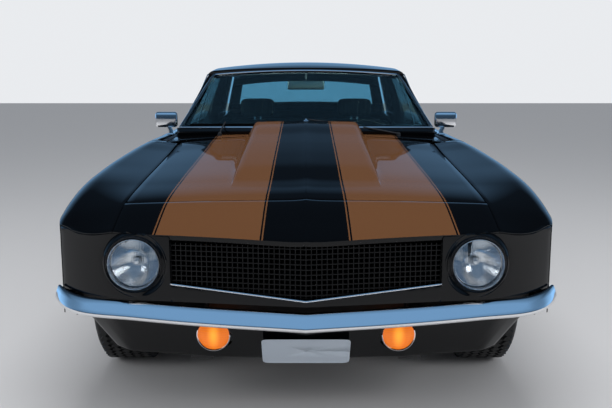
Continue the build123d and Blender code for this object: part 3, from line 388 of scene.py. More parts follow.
def sill_grid(stations, rows=8):
    """The skin below the wheel opening's ends, down to the sill."""
    grid = []
    for row in range(rows + 1):
        heights = [ARCH_CENTRE + (blended(SECTIONS, s)[9] - ARCH_CENTRE) * row / rows for s in stations]
        grid.append([place(side_width(s, h), s, h) for s, h in zip(stations, heights)])
    return grid


def fender_grids():
    rear_stations = spread(FRONT_AXLE + ARCH_RADIUS, FENDER_END, 8)
    main = []
    for row in range(sum(FENDER_ROWS) + 1):
        start = 0.1
        for _ in range(40):
            start += 0.5 * (nose_station(fender_point(start, row)[0]) - start)
        stations = spread(start, FRONT_AXLE - ARCH_RADIUS, 18)
        stations += arch_stations(FRONT_AXLE)[1:] + rear_stations[1:]
        points = [fender_point(s, row) for s in stations]
        main.append([place(width, s, height) for s, (width, height) in zip(stations, points)])
    return [main, sill_grid(rear_stations)]


def height_on(edge, width):
    """Height of an edge, given as widths and heights with the widths rising, at a width."""
    for (w0, z0), (w1, z1) in zip(edge, edge[1:]):
        if width <= w1:
            return z0 + (z1 - z0) * max(0.0, (width - w0) / (w1 - w0))
    return edge[-1][1]


def corner_grid(skin):
    """The fender's front edge turned in along the nose's plan, from its skin to the nose's face."""
    starts = [(line[0][0], line[0][2]) for line in skin]
    widest = max(range(len(starts)), key=lambda k: starts[k][0])
    upper, lower = starts[:widest + 1], starts[:widest - 1:-1]
    end = starts[widest][0] - 0.0004
    rows = []
    for width in spread(NOSE_END, end, 14):
        heights = spread(height_on(lower, width), height_on(upper, width), 12)
        rows.append([place(width, nose_station(width), z) for z in heights])
    return rows


left_fender = fender_grids()
left_corner = [corner_grid(left_fender[0])]
fenders = sheet_piece("front_fenders_skin", both_sides(left_fender), black_enamel)
corners = sheet_piece("fender_corners", both_sides(left_corner), black_enamel, 0.003, 0.0)
for piece in (fenders, corners):
    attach(piece, "body")
    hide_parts("front_fenders")


# Header panel.
# The body-coloured panel between the hood and the grille. It is pressed with a low ridge in the
# middle and a crisp front edge, and the hood's two painted stripes run down over it.
HOOD_FRONT = 0.333
HOOD_HALF = 0.650
PANEL_GAP = 0.006
HEADER_HALF = HOOD_HALF - PANEL_GAP / 2
RIDGE = ((0.0, 0.026), (0.15, 0.018), (0.333, 0.012), (0.70, 0.020), (1.15, 0.027), (1.60, 0.032))
RIDGE_PEAK = 0.006
RIDGE_SPREAD = 0.035
BRONZE = (0.125, 0.056, 0.024)
FLAKE_SHARES = (0.86, 1.14)
STRIPE_OUTER = ((-2.265, 0.509), (-0.565, 0.470))
STRIPE_INNER = ((-2.315, 0.140), (-0.765, 0.115))
PINSTRIPE = 0.005
PINSTRIPE_SPACE = 0.011


def crown_rise(station):
    """How far the hood's middle stands above its edges at a station."""
    for (s0, h0), (s1, h1) in zip(RIDGE, RIDGE[1:]):
        if station <= s1:
            return h0 + (h1 - h0) * (station - s0) / (s1 - s0)
    return RIDGE[-1][1]


def hood_height(width, station, half=HOOD_HALF):
    """Height of the plain crowned hood or header: an arc across, with a soft ridge along the middle."""
    seam = blended(SECTIONS, station)[1]
    arch = crown_rise(station) * (1 - (width / half) ** 2)
    return seam + arch + RIDGE_PEAK * math.exp(-abs(width) / RIDGE_SPREAD)


def striped_enamel():
    """The black enamel with its bronze stripes and their pinstripes, laid out along the car."""
    material = enamel("striped_enamel", BLACK_ENAMEL)
    add = adder(material.node_tree)
    where = add("ShaderNodeTexCoord").outputs["Object"]
    split = add("ShaderNodeSeparateXYZ", {"Vector": where}).outputs

    def maths(operation, *values):
        return add("ShaderNodeMath", dict(enumerate(values)), operation=operation)

    def edge_at(ends):
        return graded(add, split["Y"], *zip(*ends), clamp=False)

    width = maths("ABSOLUTE", split["X"])
    from_outer = maths("SUBTRACT", edge_at(STRIPE_OUTER), width)
    from_inner = maths("SUBTRACT", width, edge_at(STRIPE_INNER))
    inside = maths("MINIMUM", from_outer, from_inner)
    broad = maths("GREATER_THAN", inside, PINSTRIPE_SPACE)
    thin = maths("MULTIPLY", maths("GREATER_THAN", inside, 0.0), maths("LESS_THAN", inside, PINSTRIPE))
    flake = add("ShaderNodeTexNoise", {"Vector": where, "Scale": 900.0}).outputs["Fac"]
    bronze = mixed(add, flake, *[(*[c * share for c in BRONZE], 1.0) for share in FLAKE_SHARES])
    colour = mixed(add, maths("MAXIMUM", broad, thin), (*BLACK_ENAMEL, 1.0), bronze)
    fill_inputs(material.node_tree.nodes["Principled BSDF"], {"Base Color": colour})
    return material


striped = striped_enamel()


def upwards(point):
    return (0.0, 0.0, 1.0)


def header_grid():
    widths = [math.copysign(HEADER_HALF * abs(k / 40) ** 1.5, k) for k in range(-40, 41)]
    end = HOOD_FRONT - PANEL_GAP / 2
    rows = []
    for row in range(17):
        stations = [nose_station(w) + (end - nose_station(w)) * row / 16 for w in widths]
        rows.append([place(w, s, hood_height(w, s)) for w, s in zip(widths, stations)])
    return rows


header = sheet_piece("header_skin", [header_grid()], striped, thickness=0.018, bevel=0.003, outward=upwards)
header.data.materials.append(black_enamel)
header.modifiers["wall"].material_offset_rim = 1
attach(header, "body")
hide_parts("header_panel")


# Hood.
# A long pressed lid with a raised scoop that grows out of its front half and opens towards the
# windshield. The stripes run over the scoop's shoulders.
HOOD_REAR = 1.600
SCOOP_ROWS = (
    # Station, half width on top, half width at its foot, height above the hood's middle line
    (0.480, 0.285, 0.287, 0.000),
    (0.600, 0.282, 0.289, 0.005),
    (0.800, 0.277, 0.292, 0.021),
    (1.200, 0.264, 0.301, 0.048),
    (1.600, 0.251, 0.313, 0.074),
)
HOOD_PLATE = 0.016


def scoop_at(station):
    if station <= SCOOP_ROWS[0][0]:
        return (*SCOOP_ROWS[0][1:3], 0.0)
    return blended(SCOOP_ROWS, station)


def hood_grid():
    rows = []
    for station in spread(HOOD_FRONT + PANEL_GAP / 2, HOOD_REAR, 72):
        top, foot, rise = scoop_at(station)
        widths = [top * (j / 18) ** 1.5 for j in range(19)]
        widths += spread(top, foot, 8)[1:] + spread(foot, HOOD_HALF - PANEL_GAP, 14)[1:]
        line = []
        for width in widths:
            height = hood_height(width, station)
            if width <= foot:
                share = 1.0 if width <= top else (foot - width) / (foot - top)
                share = share * share * (3 - 2 * share)
                flat = blended(SECTIONS, station)[1] + crown_rise(station) + rise - 0.004 * (width / top) ** 2
                flat += RIDGE_PEAK * math.exp(-width / RIDGE_SPREAD)
                height += max(0.0, flat - height) * share
            line.append((width, station, height))
        rows.append([place(-w, s, h) for w, s, h in reversed(line)] + [place(*p) for p in line[1:]])
    return rows


hood = sheet_piece("hood_skin", [hood_grid()], striped, thickness=HOOD_PLATE, bevel=0.002, outward=upwards)
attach(hood, "hood")
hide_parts("hood")


# Nose panel.
# The body-coloured panel round the headlamps and under the grille, with a dished collar for each
# lamp and a lip turned back along the grille's edge.
LAMP_X = 0.576
LAMP_Z = 0.615
BEZEL_RADIUS = 0.097
COLLAR_RADIUS = 0.113
LAMP_FRONT = 0.108
GRILLE_HALF = 0.452
GRILLE_LOW_SIDE = 0.553
GRILLE_LOW_MIDDLE = 0.512
NOSE_LOW = 0.492


def nose_top(width):
    """Height of the skin above the nose's edge at a width."""
    station = nose_station(width)
    if abs(width) <= HOOD_HALF:
        return hood_height(width, station)
    seam_x, seam_z, shoulder_x, shoulder_z, side_x, side_z = blended(SECTIONS, station)[:6]
    if abs(width) <= shoulder_x:
        return seam_z + (shoulder_z - seam_z) * (abs(width) - seam_x) / (shoulder_x - seam_x)
    across = min(1.0, (abs(width) - shoulder_x) / (side_x - shoulder_x))
    return side_z + (shoulder_z - side_z) * math.sqrt(1 - across**2)


def grille_low(width):
    return GRILLE_LOW_MIDDLE + (GRILLE_LOW_SIDE - GRILLE_LOW_MIDDLE) * min(1.0, abs(width) / GRILLE_HALF)


def round_hole_rows(centre, radius, left, right, low, high, per_side=20, rings=8):
    """Rows of points from a round hole out to a frame whose low and high edges are functions of width."""
    corners = ((left, low), (right, low), (right, high), (left, high), (left, low))
    outer = []
    for (x0, edge0), (x1, edge1) in zip(corners, corners[1:]):
        for x, share in zip(spread(x0, x1, per_side)[:-1], spread(0, 1, per_side)):
            outer.append((x, edge0(x) + (edge1(x) - edge0(x)) * share))
    rows = [[] for _ in range(rings + 1)]
    for x, z in [*outer, outer[0]]:
        turn = math.atan2(z - centre[1], x - centre[0])
        inner_x, inner_z = centre[0] + radius * math.cos(turn), centre[1] + radius * math.sin(turn)
        for row, t in zip(rows, spread(0, 1, rings)):
            row.append((inner_x + (x - inner_x) * t, inner_z + (z - inner_z) * t))
    return rows


def nose_grids():
    def high(width):
        return nose_top(width) - 0.004

    hole = (LAMP_X, LAMP_Z), COLLAR_RADIUS - 0.004
    face = round_hole_rows(*hole, GRILLE_HALF, NOSE_END, lambda x: NOSE_LOW, high)
    face = [[place(x, nose_station(x) + 0.001, min(z, high(x))) for x, z in row] for row in face]
    collar = []
    for t in spread(0, 1, 4):
        row = []
        for turn in spread(0, 2 * math.pi, 72):
            radius = BEZEL_RADIUS + (COLLAR_RADIUS - BEZEL_RADIUS) * t
            x, z = LAMP_X + radius * math.cos(turn), LAMP_Z + radius * math.sin(turn)
            station = LAMP_FRONT + 0.004 + (nose_station(x) - 0.001 - LAMP_FRONT - 0.004) * t * t
            row.append(place(x, min(station, nose_station(x) + 0.012), min(z, high(x) + 0.003)))
        collar.append(row)
    strip, lip = [], []
    for x in spread(0, GRILLE_HALF, 32):
        edge, low = nose_station(x) + 0.001, grille_low(x)
        strip.append([place(x, edge, z) for z in spread(NOSE_LOW, low, 3)])
        lip.append([place(x, edge + 0.010 * j, low) for j in range(4)])
    return [face, collar, strip, lip]


def forwards(point):
    return (0.0, -1.0, 0.15)


nose = sheet_piece("nose_panel_skin", both_sides(nose_grids()), black_enamel, 0.004, 0.001, forwards)
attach(nose, "body")
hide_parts("nose_panel")


# Headlamps.
# Sealed round lamps: a domed glass with moulded flutes over a bright reflector, held by a
# chromed ring that is screwed to the nose.
LAMP_RADIUS = 0.082
DOME_EDGE = 0.126
DOME_FRONT = 0.112
FLUTES = 60.0
CROSS_LINES = 17.0


def lathe(name, profiles, material, turn_axis, centre=(0.0, 0.0, 0.0), segments=72, smooth_angle=35):
    """Solids of revolution: each profile is a closed list of radius and offset along X or Y."""
    mesh = bmesh.new()
    for profile in profiles:
        rings = []
        for radius, along in profile:
            ring = []
            for k in range(1 if radius < 1e-6 else segments):
                turn = 2 * math.pi * k / segments
                one, two = radius * math.cos(turn), radius * math.sin(turn)
                point = (along, one, two) if turn_axis == "X" else (one, along, two)
                ring.append(mesh.verts.new(Vector(centre) + Vector(point)))
            rings.append(ring)
        for first, second in zip(rings, rings[1:] + rings[:1]):
            for k in range(segments):
                j = (k + 1) % segments
                if len(first) > 1 and len(second) > 1:
                    mesh.faces.new((first[k], first[j], second[j], second[k]))
                elif len(first) > 1:
                    mesh.faces.new((first[k], first[j], second[0]))
                elif len(second) > 1:
                    mesh.faces.new((first[0], second[j], second[k]))
    bmesh.ops.remove_doubles(mesh, verts=mesh.verts, dist=0.00001)
    bmesh.ops.recalc_face_normals(mesh, faces=mesh.faces)
    return smooth_solid(name, mesh, material, smooth_angle)


def smooth_solid(name, mesh, material, smooth_angle=35):
    """Turns a closed mesh into an object that is smooth but for its sharper edges."""
    for edge in mesh.edges:
        if len(edge.link_faces) == 2 and edge.calc_face_angle(0.0) > math.radians(smooth_angle):
            edge.smooth = False
    for face in mesh.faces:
        face.smooth = True
    return new_piece(name, mesh, [material])


def joined(name, pieces):
    """One object from several, each keeping its own materials."""
    mesh = bmesh.new()
    materials = []
    for piece in pieces:
        slots = []
        for material in piece.data.materials:
            if material not in materials:
                materials.append(material)
            slots.append(materials.index(material))
        before = len(mesh.faces)
        mesh.from_mesh(piece.data)
        mesh.faces.ensure_lookup_table()
        for face in mesh.faces[before:]:
            face.material_index = slots[face.material_index]
        bpy.data.objects.remove(piece)
    return new_piece(name, mesh, materials)


def metal(name, colour, roughness, wear=0.06, scale=40.0, metallic=1.0):
    """Metal whose polish varies in small patches."""
    material, shader, add = new_material(name)
    where = add("ShaderNodeTexCoord").outputs["Object"]
    patches = add("ShaderNodeTexNoise", {"Vector": where, "Scale": scale, "Detail": 5.0}).outputs["Fac"]
    polish = graded(add, patches, (0.3, 0.7), (max(0.02, roughness - wear / 2), roughness + wear / 2))
    fill_inputs(shader, {"Base Color": (*colour, 1.0), "Metallic": metallic, "Roughness": polish})
    return material


def glass(name, colour, gloss=0.5, flutes=()):
    """Clear or tinted glass, with moulded flutes and cross lines where their scales are given."""
    material, shader, add = new_material(name)
    where = add("ShaderNodeTexCoord").outputs["Object"]
    streaks = add("ShaderNodeTexNoise", {"Vector": where, "Scale": 6.0}).outputs["Fac"]
    paler = [min(1.0, c * 1.06) for c in colour]
    relief = {}
    for direction, scale in zip("XZ", flutes):
        waves = add("ShaderNodeTexWave", {"Vector": where, "Scale": scale}, bands_direction=direction)
        bump = {"Height": waves.outputs["Fac"], "Strength": 0.4, "Distance": 0.0012}
        relief = {"Normal": add("ShaderNodeBump", {**bump, **relief}).outputs["Normal"]}
    fill_inputs(shader, {
        "Transmission Weight": 1.0, "IOR": 1.45, "Specular IOR Level": gloss, "Roughness": 0.02,
        "Base Color": mixed(add, streaks, (*colour, 1.0), (*paler, 1.0)), **relief,
    })
    return material


chrome = metal("chrome", (0.86, 0.87, 0.89), 0.07, wear=0.05)
lens_glass = glass("lamp_glass", (0.93, 0.96, 0.98), flutes=(FLUTES, CROSS_LINES))
reflector_metal = metal("reflector", (0.74, 0.77, 0.80), 0.14)


def dome_profile(edge_radius, edge, front, steps=10):
    """Radius and station from the middle of a dome out to its edge."""
    return [(r, front + (edge - front) * (r / edge_radius) ** 2) for r in spread(0, edge_radius, steps)]


# The reflector's radius, the station of its bottom and its depth, and the bulb's outline
REFLECTOR = (0.079, 0.182, 0.048)
BULB = ((0.0, 0.150), (0.008, 0.152), (0.011, 0.160), (0.011, 0.178), (0.0, 0.180))
# Radius and station of the bright ring that holds the glass and the bright bead on the bezel's
# outer edge, and then of the painted bezel between them
RINGS_BRIGHT = (
    ((0.0880, 0.150), (0.0880, 0.112), (0.0875, 0.107), (0.0855, 0.105), (0.0835, 0.108), (0.0825, 0.120),
     (0.0825, 0.150)),
    ((0.0970, 0.150), (0.0970, 0.109), (0.0962, 0.107), (0.0954, 0.109), (0.0954, 0.150)),
)
RING_DARK = (
    (0.0954, 0.150), (0.0954, 0.110), (0.0930, 0.108), (0.0900, 0.109), (0.0880, 0.113), (0.0880, 0.150),
)
# The car's sides, and the sign of a width there
SIDES = (("left", 1), ("right", -1))
for name, side in SIDES:
    centre = (side * LAMP_X, NOSE_Y, LAMP_Z)
    outside = dome_profile(LAMP_RADIUS, DOME_EDGE, DOME_FRONT)
    inside = [(r * 0.965, s + 0.0035) for r, s in reversed(outside)]
    lens = lathe(f"lens_{name}", [outside + inside], lens_glass, "Y", centre)
    radius, bottom, depth = REFLECTOR
    bowl = [(radius * math.sqrt(k / 12), bottom - depth * k / 12) for k in range(13)]
    shell = bowl + [(r + 0.0015, s + 0.0015) for r, s in reversed(bowl)]
    reflector = lathe(f"reflector_{name}", [shell, BULB], reflector_metal, "Y", centre)
    lamp = joined(f"headlamp_{name}", [lens, reflector])
    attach(lamp, "body")
    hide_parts("headlamps")
    bright = lathe("ring", RINGS_BRIGHT, chrome, "Y", centre, segments=96, smooth_angle=50)
    dark = lathe("ring", [RING_DARK], black_enamel, "Y", centre, segments=96, smooth_angle=50)
    bezel = joined(f"lamp_ring_{name}", [bright, dark])
    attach(bezel, "body")
    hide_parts("lamp_bezels")


# Grille.
# A moulded eggcrate with fine square cells that follows the point of the nose, with a near-black
# sheet of painted shade behind it and a thin bright moulding along its lower edge.
GRILLE_TOP = 0.691
GRILLE_FRONT = 0.012
GRILLE_SLOPE = 0.150
GRILLE_PITCH = 0.0172
GRILLE_BAR = 0.0028
GRILLE_DEPTH = 0.018
GRILLE_UPRIGHTS = 53
GRILLE_CROSSBARS = 11


def node_tree(name, **inputs):
    """A geometry tree with inputs named by kind and one for its material, and a way to add nodes."""
    tree = bpy.data.node_groups.new(name, "GeometryNodeTree")
    for kind, labels in {"Geometry": ["Geometry"], **inputs, "Material": ["Material"]}.items():
        for label in labels:
            tree.interface.new_socket(name=label, in_out="INPUT", socket_type=f"NodeSocket{kind}")
    tree.interface.new_socket(name="Geometry", in_out="OUTPUT", socket_type="NodeSocketGeometry")
    add = adder(tree)
    return tree, add("NodeGroupInput").outputs, add


def together(add, *parts):
    """The geometry of several sockets as one."""
    join = add("GeometryNodeJoinGeometry")
    for part in parts:
        fill_inputs(join, {"Geometry": part})
    return join


def finish_tree(tree, given, add, geometry):
    """Ends a tree in real geometry with its own material."""
    real = add("GeometryNodeRealizeInstances", {"Geometry": geometry})
    dressed = add("GeometryNodeSetMaterial", {"Geometry": real, "Material": given["Material"]})
    add("NodeGroupOutput", {"Geometry": dressed})
    return tree


def grown(name, tree, values, start=None):
    """Runs a tree on an object, a new one where none is given, and keeps its plain mesh."""
    host = start or bpy.data.objects.new(name, bpy.data.meshes.new(name))
    if start is None:
        scene.collection.objects.link(host)
    grower = host.modifiers.new("grow", "NODES")
    grower.node_group = tree
    for item in tree.interface.items_tree:
        if item.in_out == "INPUT" and item.name in values:
            grower[item.identifier] = values[item.name]
    bpy.context.view_layer.update()
    evaluated = host.evaluated_get(bpy.context.evaluated_depsgraph_get())
    mesh = bpy.data.meshes.new_from_object(evaluated)
    mesh.name = name
    host.modifiers.clear()
    host.data = mesh
    host.name = name
    return host


def lattice_tree():
    """Uprights and crossbars cut to a pointed lower edge, then bent to the nose's point."""
    tree, given, add = node_tree("grille_lattice", Int=["Uprights", "Crossbars"], Float=[
        "Half Width", "Pitch", "Bar", "Depth", "Top", "Low Middle", "Low Side", "Slope", "Front",
    ])

    def maths(operation, *values):
        return add("ShaderNodeMath", dict(enumerate(values)), operation=operation)

    def vector(x, y, z):
        return add("ShaderNodeCombineXYZ", {"X": x, "Y": y, "Z": z})

    half, top, low = given["Half Width"], given["Top"], given["Low Middle"]
    here = add("ShaderNodeSeparateXYZ", {"Vector": add("GeometryNodeInputPosition")}).outputs
    aside = maths("ABSOLUTE", here["X"])
    rise = maths("SUBTRACT", given["Low Side"], low)
    edge = maths("ADD", low, maths("MULTIPLY", rise, maths("DIVIDE", aside, half)))
    middle = maths("MULTIPLY", maths("ADD", top, edge), 0.5)

    step = maths("DIVIDE", maths("MULTIPLY", half, 2.0), maths("SUBTRACT", given["Uprights"], 1.0))
    row = add("GeometryNodeMeshLine", {
        "Count": given["Uprights"], "Start Location": vector(maths("MULTIPLY", half, -1.0), 0.0, 0.0),
        "Offset": vector(step, 0.0, 0.0),
    })
    spots = vector(here["X"], 0.0, middle)
    row = add("GeometryNodeSetPosition", {"Geometry": row, "Position": spots})
    post = add("GeometryNodeMeshCube", {"Size": vector(given["Bar"], given["Depth"], 1.0)})
    posts = add("GeometryNodeInstanceOnPoints", {
        "Points": row, "Instance": post,
        "Scale": vector(1.0, 1.0, maths("SUBTRACT", top, edge)),
    })

    highest = maths("SUBTRACT", top, maths("MULTIPLY", given["Pitch"], 0.5))
    stack = add("GeometryNodeMeshLine", {
        "Count": given["Crossbars"], "Start Location": vector(0.0, 0.0, highest),
        "Offset": vector(0.0, 0.0, maths("MULTIPLY", given["Pitch"], -1.0)),
    })
    share = maths("MINIMUM", 1.0, maths("DIVIDE", maths("SUBTRACT", here["Z"], low), rise))
    reach = maths("MAXIMUM", maths("MULTIPLY", half, share), 0.01)
    beam = add("GeometryNodeMeshCube", {"Size": vector(2.0, given["Depth"], given["Bar"]), "Vertices X": 3})
    beams = add("GeometryNodeInstanceOnPoints", {
        "Points": stack, "Instance": beam, "Scale": vector(reach, 1.0, 1.0),
    })
    both_ways = together(add, posts, beams)
    solid = add("GeometryNodeRealizeInstances", {"Geometry": both_ways})
    back = maths("ADD", given["Front"], maths("MULTIPLY", given["Slope"], aside))
    bent = add("GeometryNodeSetPosition", {"Geometry": solid, "Offset": vector(0.0, back, 0.0)})
    return finish_tree(tree, given, add, bent)


def plastic(name, colour, roughness, grain=0.0, grain_scale=400.0, gloss=0.5):
    """Moulded plastic or rubber, with a mottled dullness and a grain where one is given."""
    material = metal(name, colour, roughness, wear=0.12, scale=25.0, metallic=0.0)
    relief = {}
    if grain:
        add = adder(material.node_tree)
        where = add("ShaderNodeTexCoord").outputs["Object"]
        pebbles = add("ShaderNodeTexVoronoi", {"Vector": where, "Scale": grain_scale}).outputs["Distance"]
        bump = add("ShaderNodeBump", {"Height": pebbles, "Strength": grain, "Distance": 0.0008})
        relief = {"Normal": bump.outputs["Normal"]}
    fill_inputs(material.node_tree.nodes["Principled BSDF"], {"Specular IOR Level": gloss, **relief})
    return material


grille_black = plastic("grille_black", (0.006, 0.006, 0.0065), 0.40, gloss=0.25)
# Near-black for painted shade (the sheet behind the grille and the cowl's slots) and the wiper blades' own
# black rubber
shade_and_rubber_black = plastic("shade_and_rubber_black", (0.002, 0.002, 0.002), 0.8, gloss=0.1)
lattice = grown("grille_lattice", lattice_tree(), {
    "Half Width": GRILLE_HALF - 0.002, "Uprights": GRILLE_UPRIGHTS, "Crossbars": GRILLE_CROSSBARS,
    "Pitch": GRILLE_PITCH, "Bar": GRILLE_BAR, "Depth": GRILLE_DEPTH, "Top": GRILLE_TOP,
    "Low Middle": GRILLE_LOW_MIDDLE, "Low Side": GRILLE_LOW_SIDE, "Slope": GRILLE_SLOPE,
    "Front": NOSE_Y + NOSE_PLAN[0][1] + GRILLE_FRONT + GRILLE_DEPTH / 2, "Material": grille_black,
})


def along_grille(depth, steps=24):
    """A grid across the grille between its lower edge and its top, set back by a depth."""
    rows = []
    for x in spread(-GRILLE_HALF, GRILLE_HALF, 2 * steps):
        heights = spread(grille_low(x), GRILLE_TOP, 4)
        rows.append([place(x, nose_station(x) + depth, z) for z in heights])
    return rows


# Section of the moulding: distance behind the nose's edge and above the grille's
MOULDING = ((0.001, -0.0045), (-0.0035, -0.003), (-0.0045, 0.0), (-0.003, 0.0025), (0.004, 0.003))
# A near-black sheet behind the lattice stands in for the shade inside the nose: painted shade
shade_sheet = sheet_piece("grille_shade_sheet", [along_grille(0.036)], shade_and_rubber_black, 0.003, 0.0, forwards)
moulding_rows = [[place(x, nose_station(x) + behind, grille_low(x) + above) for behind, above in MOULDING]
                 for x in spread(-GRILLE_HALF, GRILLE_HALF, 64)]
moulding = sheet_piece("grille_moulding", [moulding_rows], chrome, 0.0015, 0.0, forwards)
for piece, slot in ((lattice, "grille_plastic"), (shade_sheet, "grille_plastic"), (moulding, "chrome")):
    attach(piece, "body")
    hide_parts("grille")


# Bumpers.
# Chromed steel blades. The front one has a shallow point in the middle and its tips sweep back
# and up round the corners. The rear one wraps round the tail.
# Rows: half width and station of the front, the same of the back, lower and upper edge
FRONT_BLADE = (
    (0.000, 0.000, 0.000, 0.056, 0.418, 0.484), (0.350, 0.045, 0.343, 0.100, 0.418, 0.484),
    (0.660, 0.110, 0.648, 0.160, 0.418, 0.484), (0.760, 0.138, 0.735, 0.182, 0.420, 0.485),
    (0.826, 0.178, 0.797, 0.212, 0.425, 0.489), (0.868, 0.224, 0.842, 0.244, 0.433, 0.495),
    (0.893, 0.262, 0.873, 0.278, 0.443, 0.502),
)
REAR_BLADE = (
    (0.000, 4.730, 0.000, 4.688, 0.404, 0.496), (0.400, 4.728, 0.395, 4.686, 0.404, 0.496),
    (0.760, 4.722, 0.740, 4.682, 0.404, 0.496), (0.826, 4.706, 0.802, 4.672, 0.404, 0.496),
    (0.868, 4.676, 0.846, 4.652, 0.406, 0.495), (0.897, 4.635, 0.876, 4.622, 0.409, 0.493),
    (0.914, 4.592, 0.896, 4.592, 0.414, 0.490),
)
# Blade sections: share of the way from front to back, and share of the height. The front one has
# a broad face that leans back over a low ridge, and it hangs a little lower in the middle
FRONT_SECTION = (
    (1.00, 0.0), (0.45, 0.03), (0.12, 0.13), (0.03, 0.21), (0.0, 0.29), (0.03, 0.37), (0.12, 0.50),
    (0.30, 0.74), (0.48, 0.95), (0.62, 1.0), (0.80, 0.99), (1.00, 0.92),
)
FRONT_DROP = 0.014
FRONT_DROP_HALF = 0.60
REAR_SECTION = (
    (1.00, 0.03), (0.62, 0.0), (0.30, 0.02), (0.12, 0.10), (0.02, 0.26), (0.0, 0.5),
    (0.02, 0.74), (0.12, 0.90), (0.30, 0.98), (0.62, 1.0), (1.00, 0.97),
)


def blade_grid(rows, section, drop=0.0):
    """A whole blade from the rows of its left half, with its section hung lower in the middle."""
    table = [(row[0], *row) for row in rows]
    half_rows = [blended(table, rows[-1][0] * math.sin(math.pi / 2 * k / 90)) for k in range(91)]
    other_half = [(-front_x, front, -back_x, *rest) for front_x, front, back_x, *rest in half_rows[:0:-1]]
    grid = []
    for front_x, front, back_x, back, low, high in other_half + half_rows:
        hang = drop * max(0.0, 1 - abs(front_x) / FRONT_DROP_HALF)
        grid.append([
            place(front_x + (back_x - front_x) * share, front + (back - front) * share,
                  low + (high - low) * rise - hang) for share, rise in section
        ])
    return grid


def bracket_grid(xs, stations, zs):
    """A strap of bent plate from the frame to a bumper."""
    corners = [(xs[0], zs[0]), (xs[0], zs[1]), (xs[1], zs[1]), (xs[1], zs[0]), (xs[0], zs[0])]
    return [[place(x, station, z) for x, z in corners] for station in stations]


dark_steel = metal("painted_steel", (0.02, 0.02, 0.021), 0.5, wear=0.2, scale=14.0, metallic=0.0)
front_grid = blade_grid(FRONT_BLADE, FRONT_SECTION, FRONT_DROP)
front_blade = sheet_piece("front_blade", [front_grid], chrome, 0.003, 0.0008, forwards)
straps = both_sides([
    bracket_grid((0.355, 0.405), (0.095, 0.200, 0.2995), (0.424, 0.468)),
    bracket_grid((0.355, 0.405), (0.262, 0.2995), (0.242, 0.468)),
])
front_straps = sheet_piece("front_bumper_straps", straps, dark_steel, 0.004, 0.0)


def backwards(point):
    return (0.0, 1.0, 0.0)


rear_grid = blade_grid(REAR_BLADE, REAR_SECTION)
rear_blade = sheet_piece("rear_blade", [rear_grid], chrome, 0.003, 0.0008, backwards)
straps = both_sides([bracket_grid((0.400, 0.460), (4.651, 4.670, 4.692), (0.427, 0.473))])
rear_straps = sheet_piece("rear_bumper_straps", straps, dark_steel, 0.004, 0.0)
for piece, node, slot in (
    (front_blade, "front_bumper", "chrome"), (front_straps, "front_bumper", "chrome"),
    (rear_blade, "rear_bumper", "chrome"), (rear_straps, "rear_bumper", "chrome"),
):
    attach(piece, "body")
    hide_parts(node)


# Front valance and turn lamps.
# A pressed panel under the bumper that leans back, with two round amber lamps let into it. Each
# lamp has a ribbed lens in a bright ring.
VALANCE_TOP = 0.436
VALANCE_LOW = 0.250
VALANCE_TOP_PLAN = ((0.0, 0.060), (0.345, 0.104), (0.690, 0.176), (0.800, 0.250))
VALANCE_LOW_PLAN = ((0.0, 0.206), (0.345, 0.230), (0.640, 0.290), (0.700, 0.345))
TURN_X = 0.319
TURN_Z = 0.356
TURN_RADIUS = 0.058
TURN_FRONT = 0.148
TURN_PANEL = (0.200, 0.440)


def plan_station(plan, width):
    for (x0, s0), (x1, s1) in zip(plan, plan[1:]):
        if width <= x1 or x1 == plan[-1][0]:
            return s0 + (s1 - s0) * (width - x0) / (x1 - x0)
    return plan[-1][1]


def valance_point(width, height):
    """The point of the valance at a width and height, drawn in where the panel narrows."""
    drop = (VALANCE_TOP - height) / (VALANCE_TOP - VALANCE_LOW)
    side = math.copysign(1.0, width)
    wide, narrow = VALANCE_TOP_PLAN[-1][0], VALANCE_LOW_PLAN[-1][0]
    share = abs(width) / wide
    upper = plan_station(VALANCE_TOP_PLAN, share * wide)
    lower = plan_station(VALANCE_LOW_PLAN, share * narrow)
    return place(side * share * (wide + (narrow - wide) * drop), upper + (lower - upper) * drop, height)


def valance_grids():
    heights = spread(VALANCE_LOW, VALANCE_TOP, 20)
    inner, outer = TURN_PANEL
    hole = (TURN_X + 0.012, TURN_Z), TURN_RADIUS + 0.003
    around = round_hole_rows(*hole, inner, outer, lambda x: VALANCE_LOW, lambda x: VALANCE_TOP)
    grids = [[[valance_point(x, z) for x, z in row] for row in around]]
    for widths in (spread(0, inner, 10), spread(outer, VALANCE_TOP_PLAN[-1][0], 20)):
        grids.append([[valance_point(x, z) for z in heights] for x in widths])
    return grids


valance = sheet_piece("front_valance_skin", both_sides(valance_grids()), black_enamel, 0.004, 0.001, forwards)
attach(valance, "body")
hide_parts("front_valance")


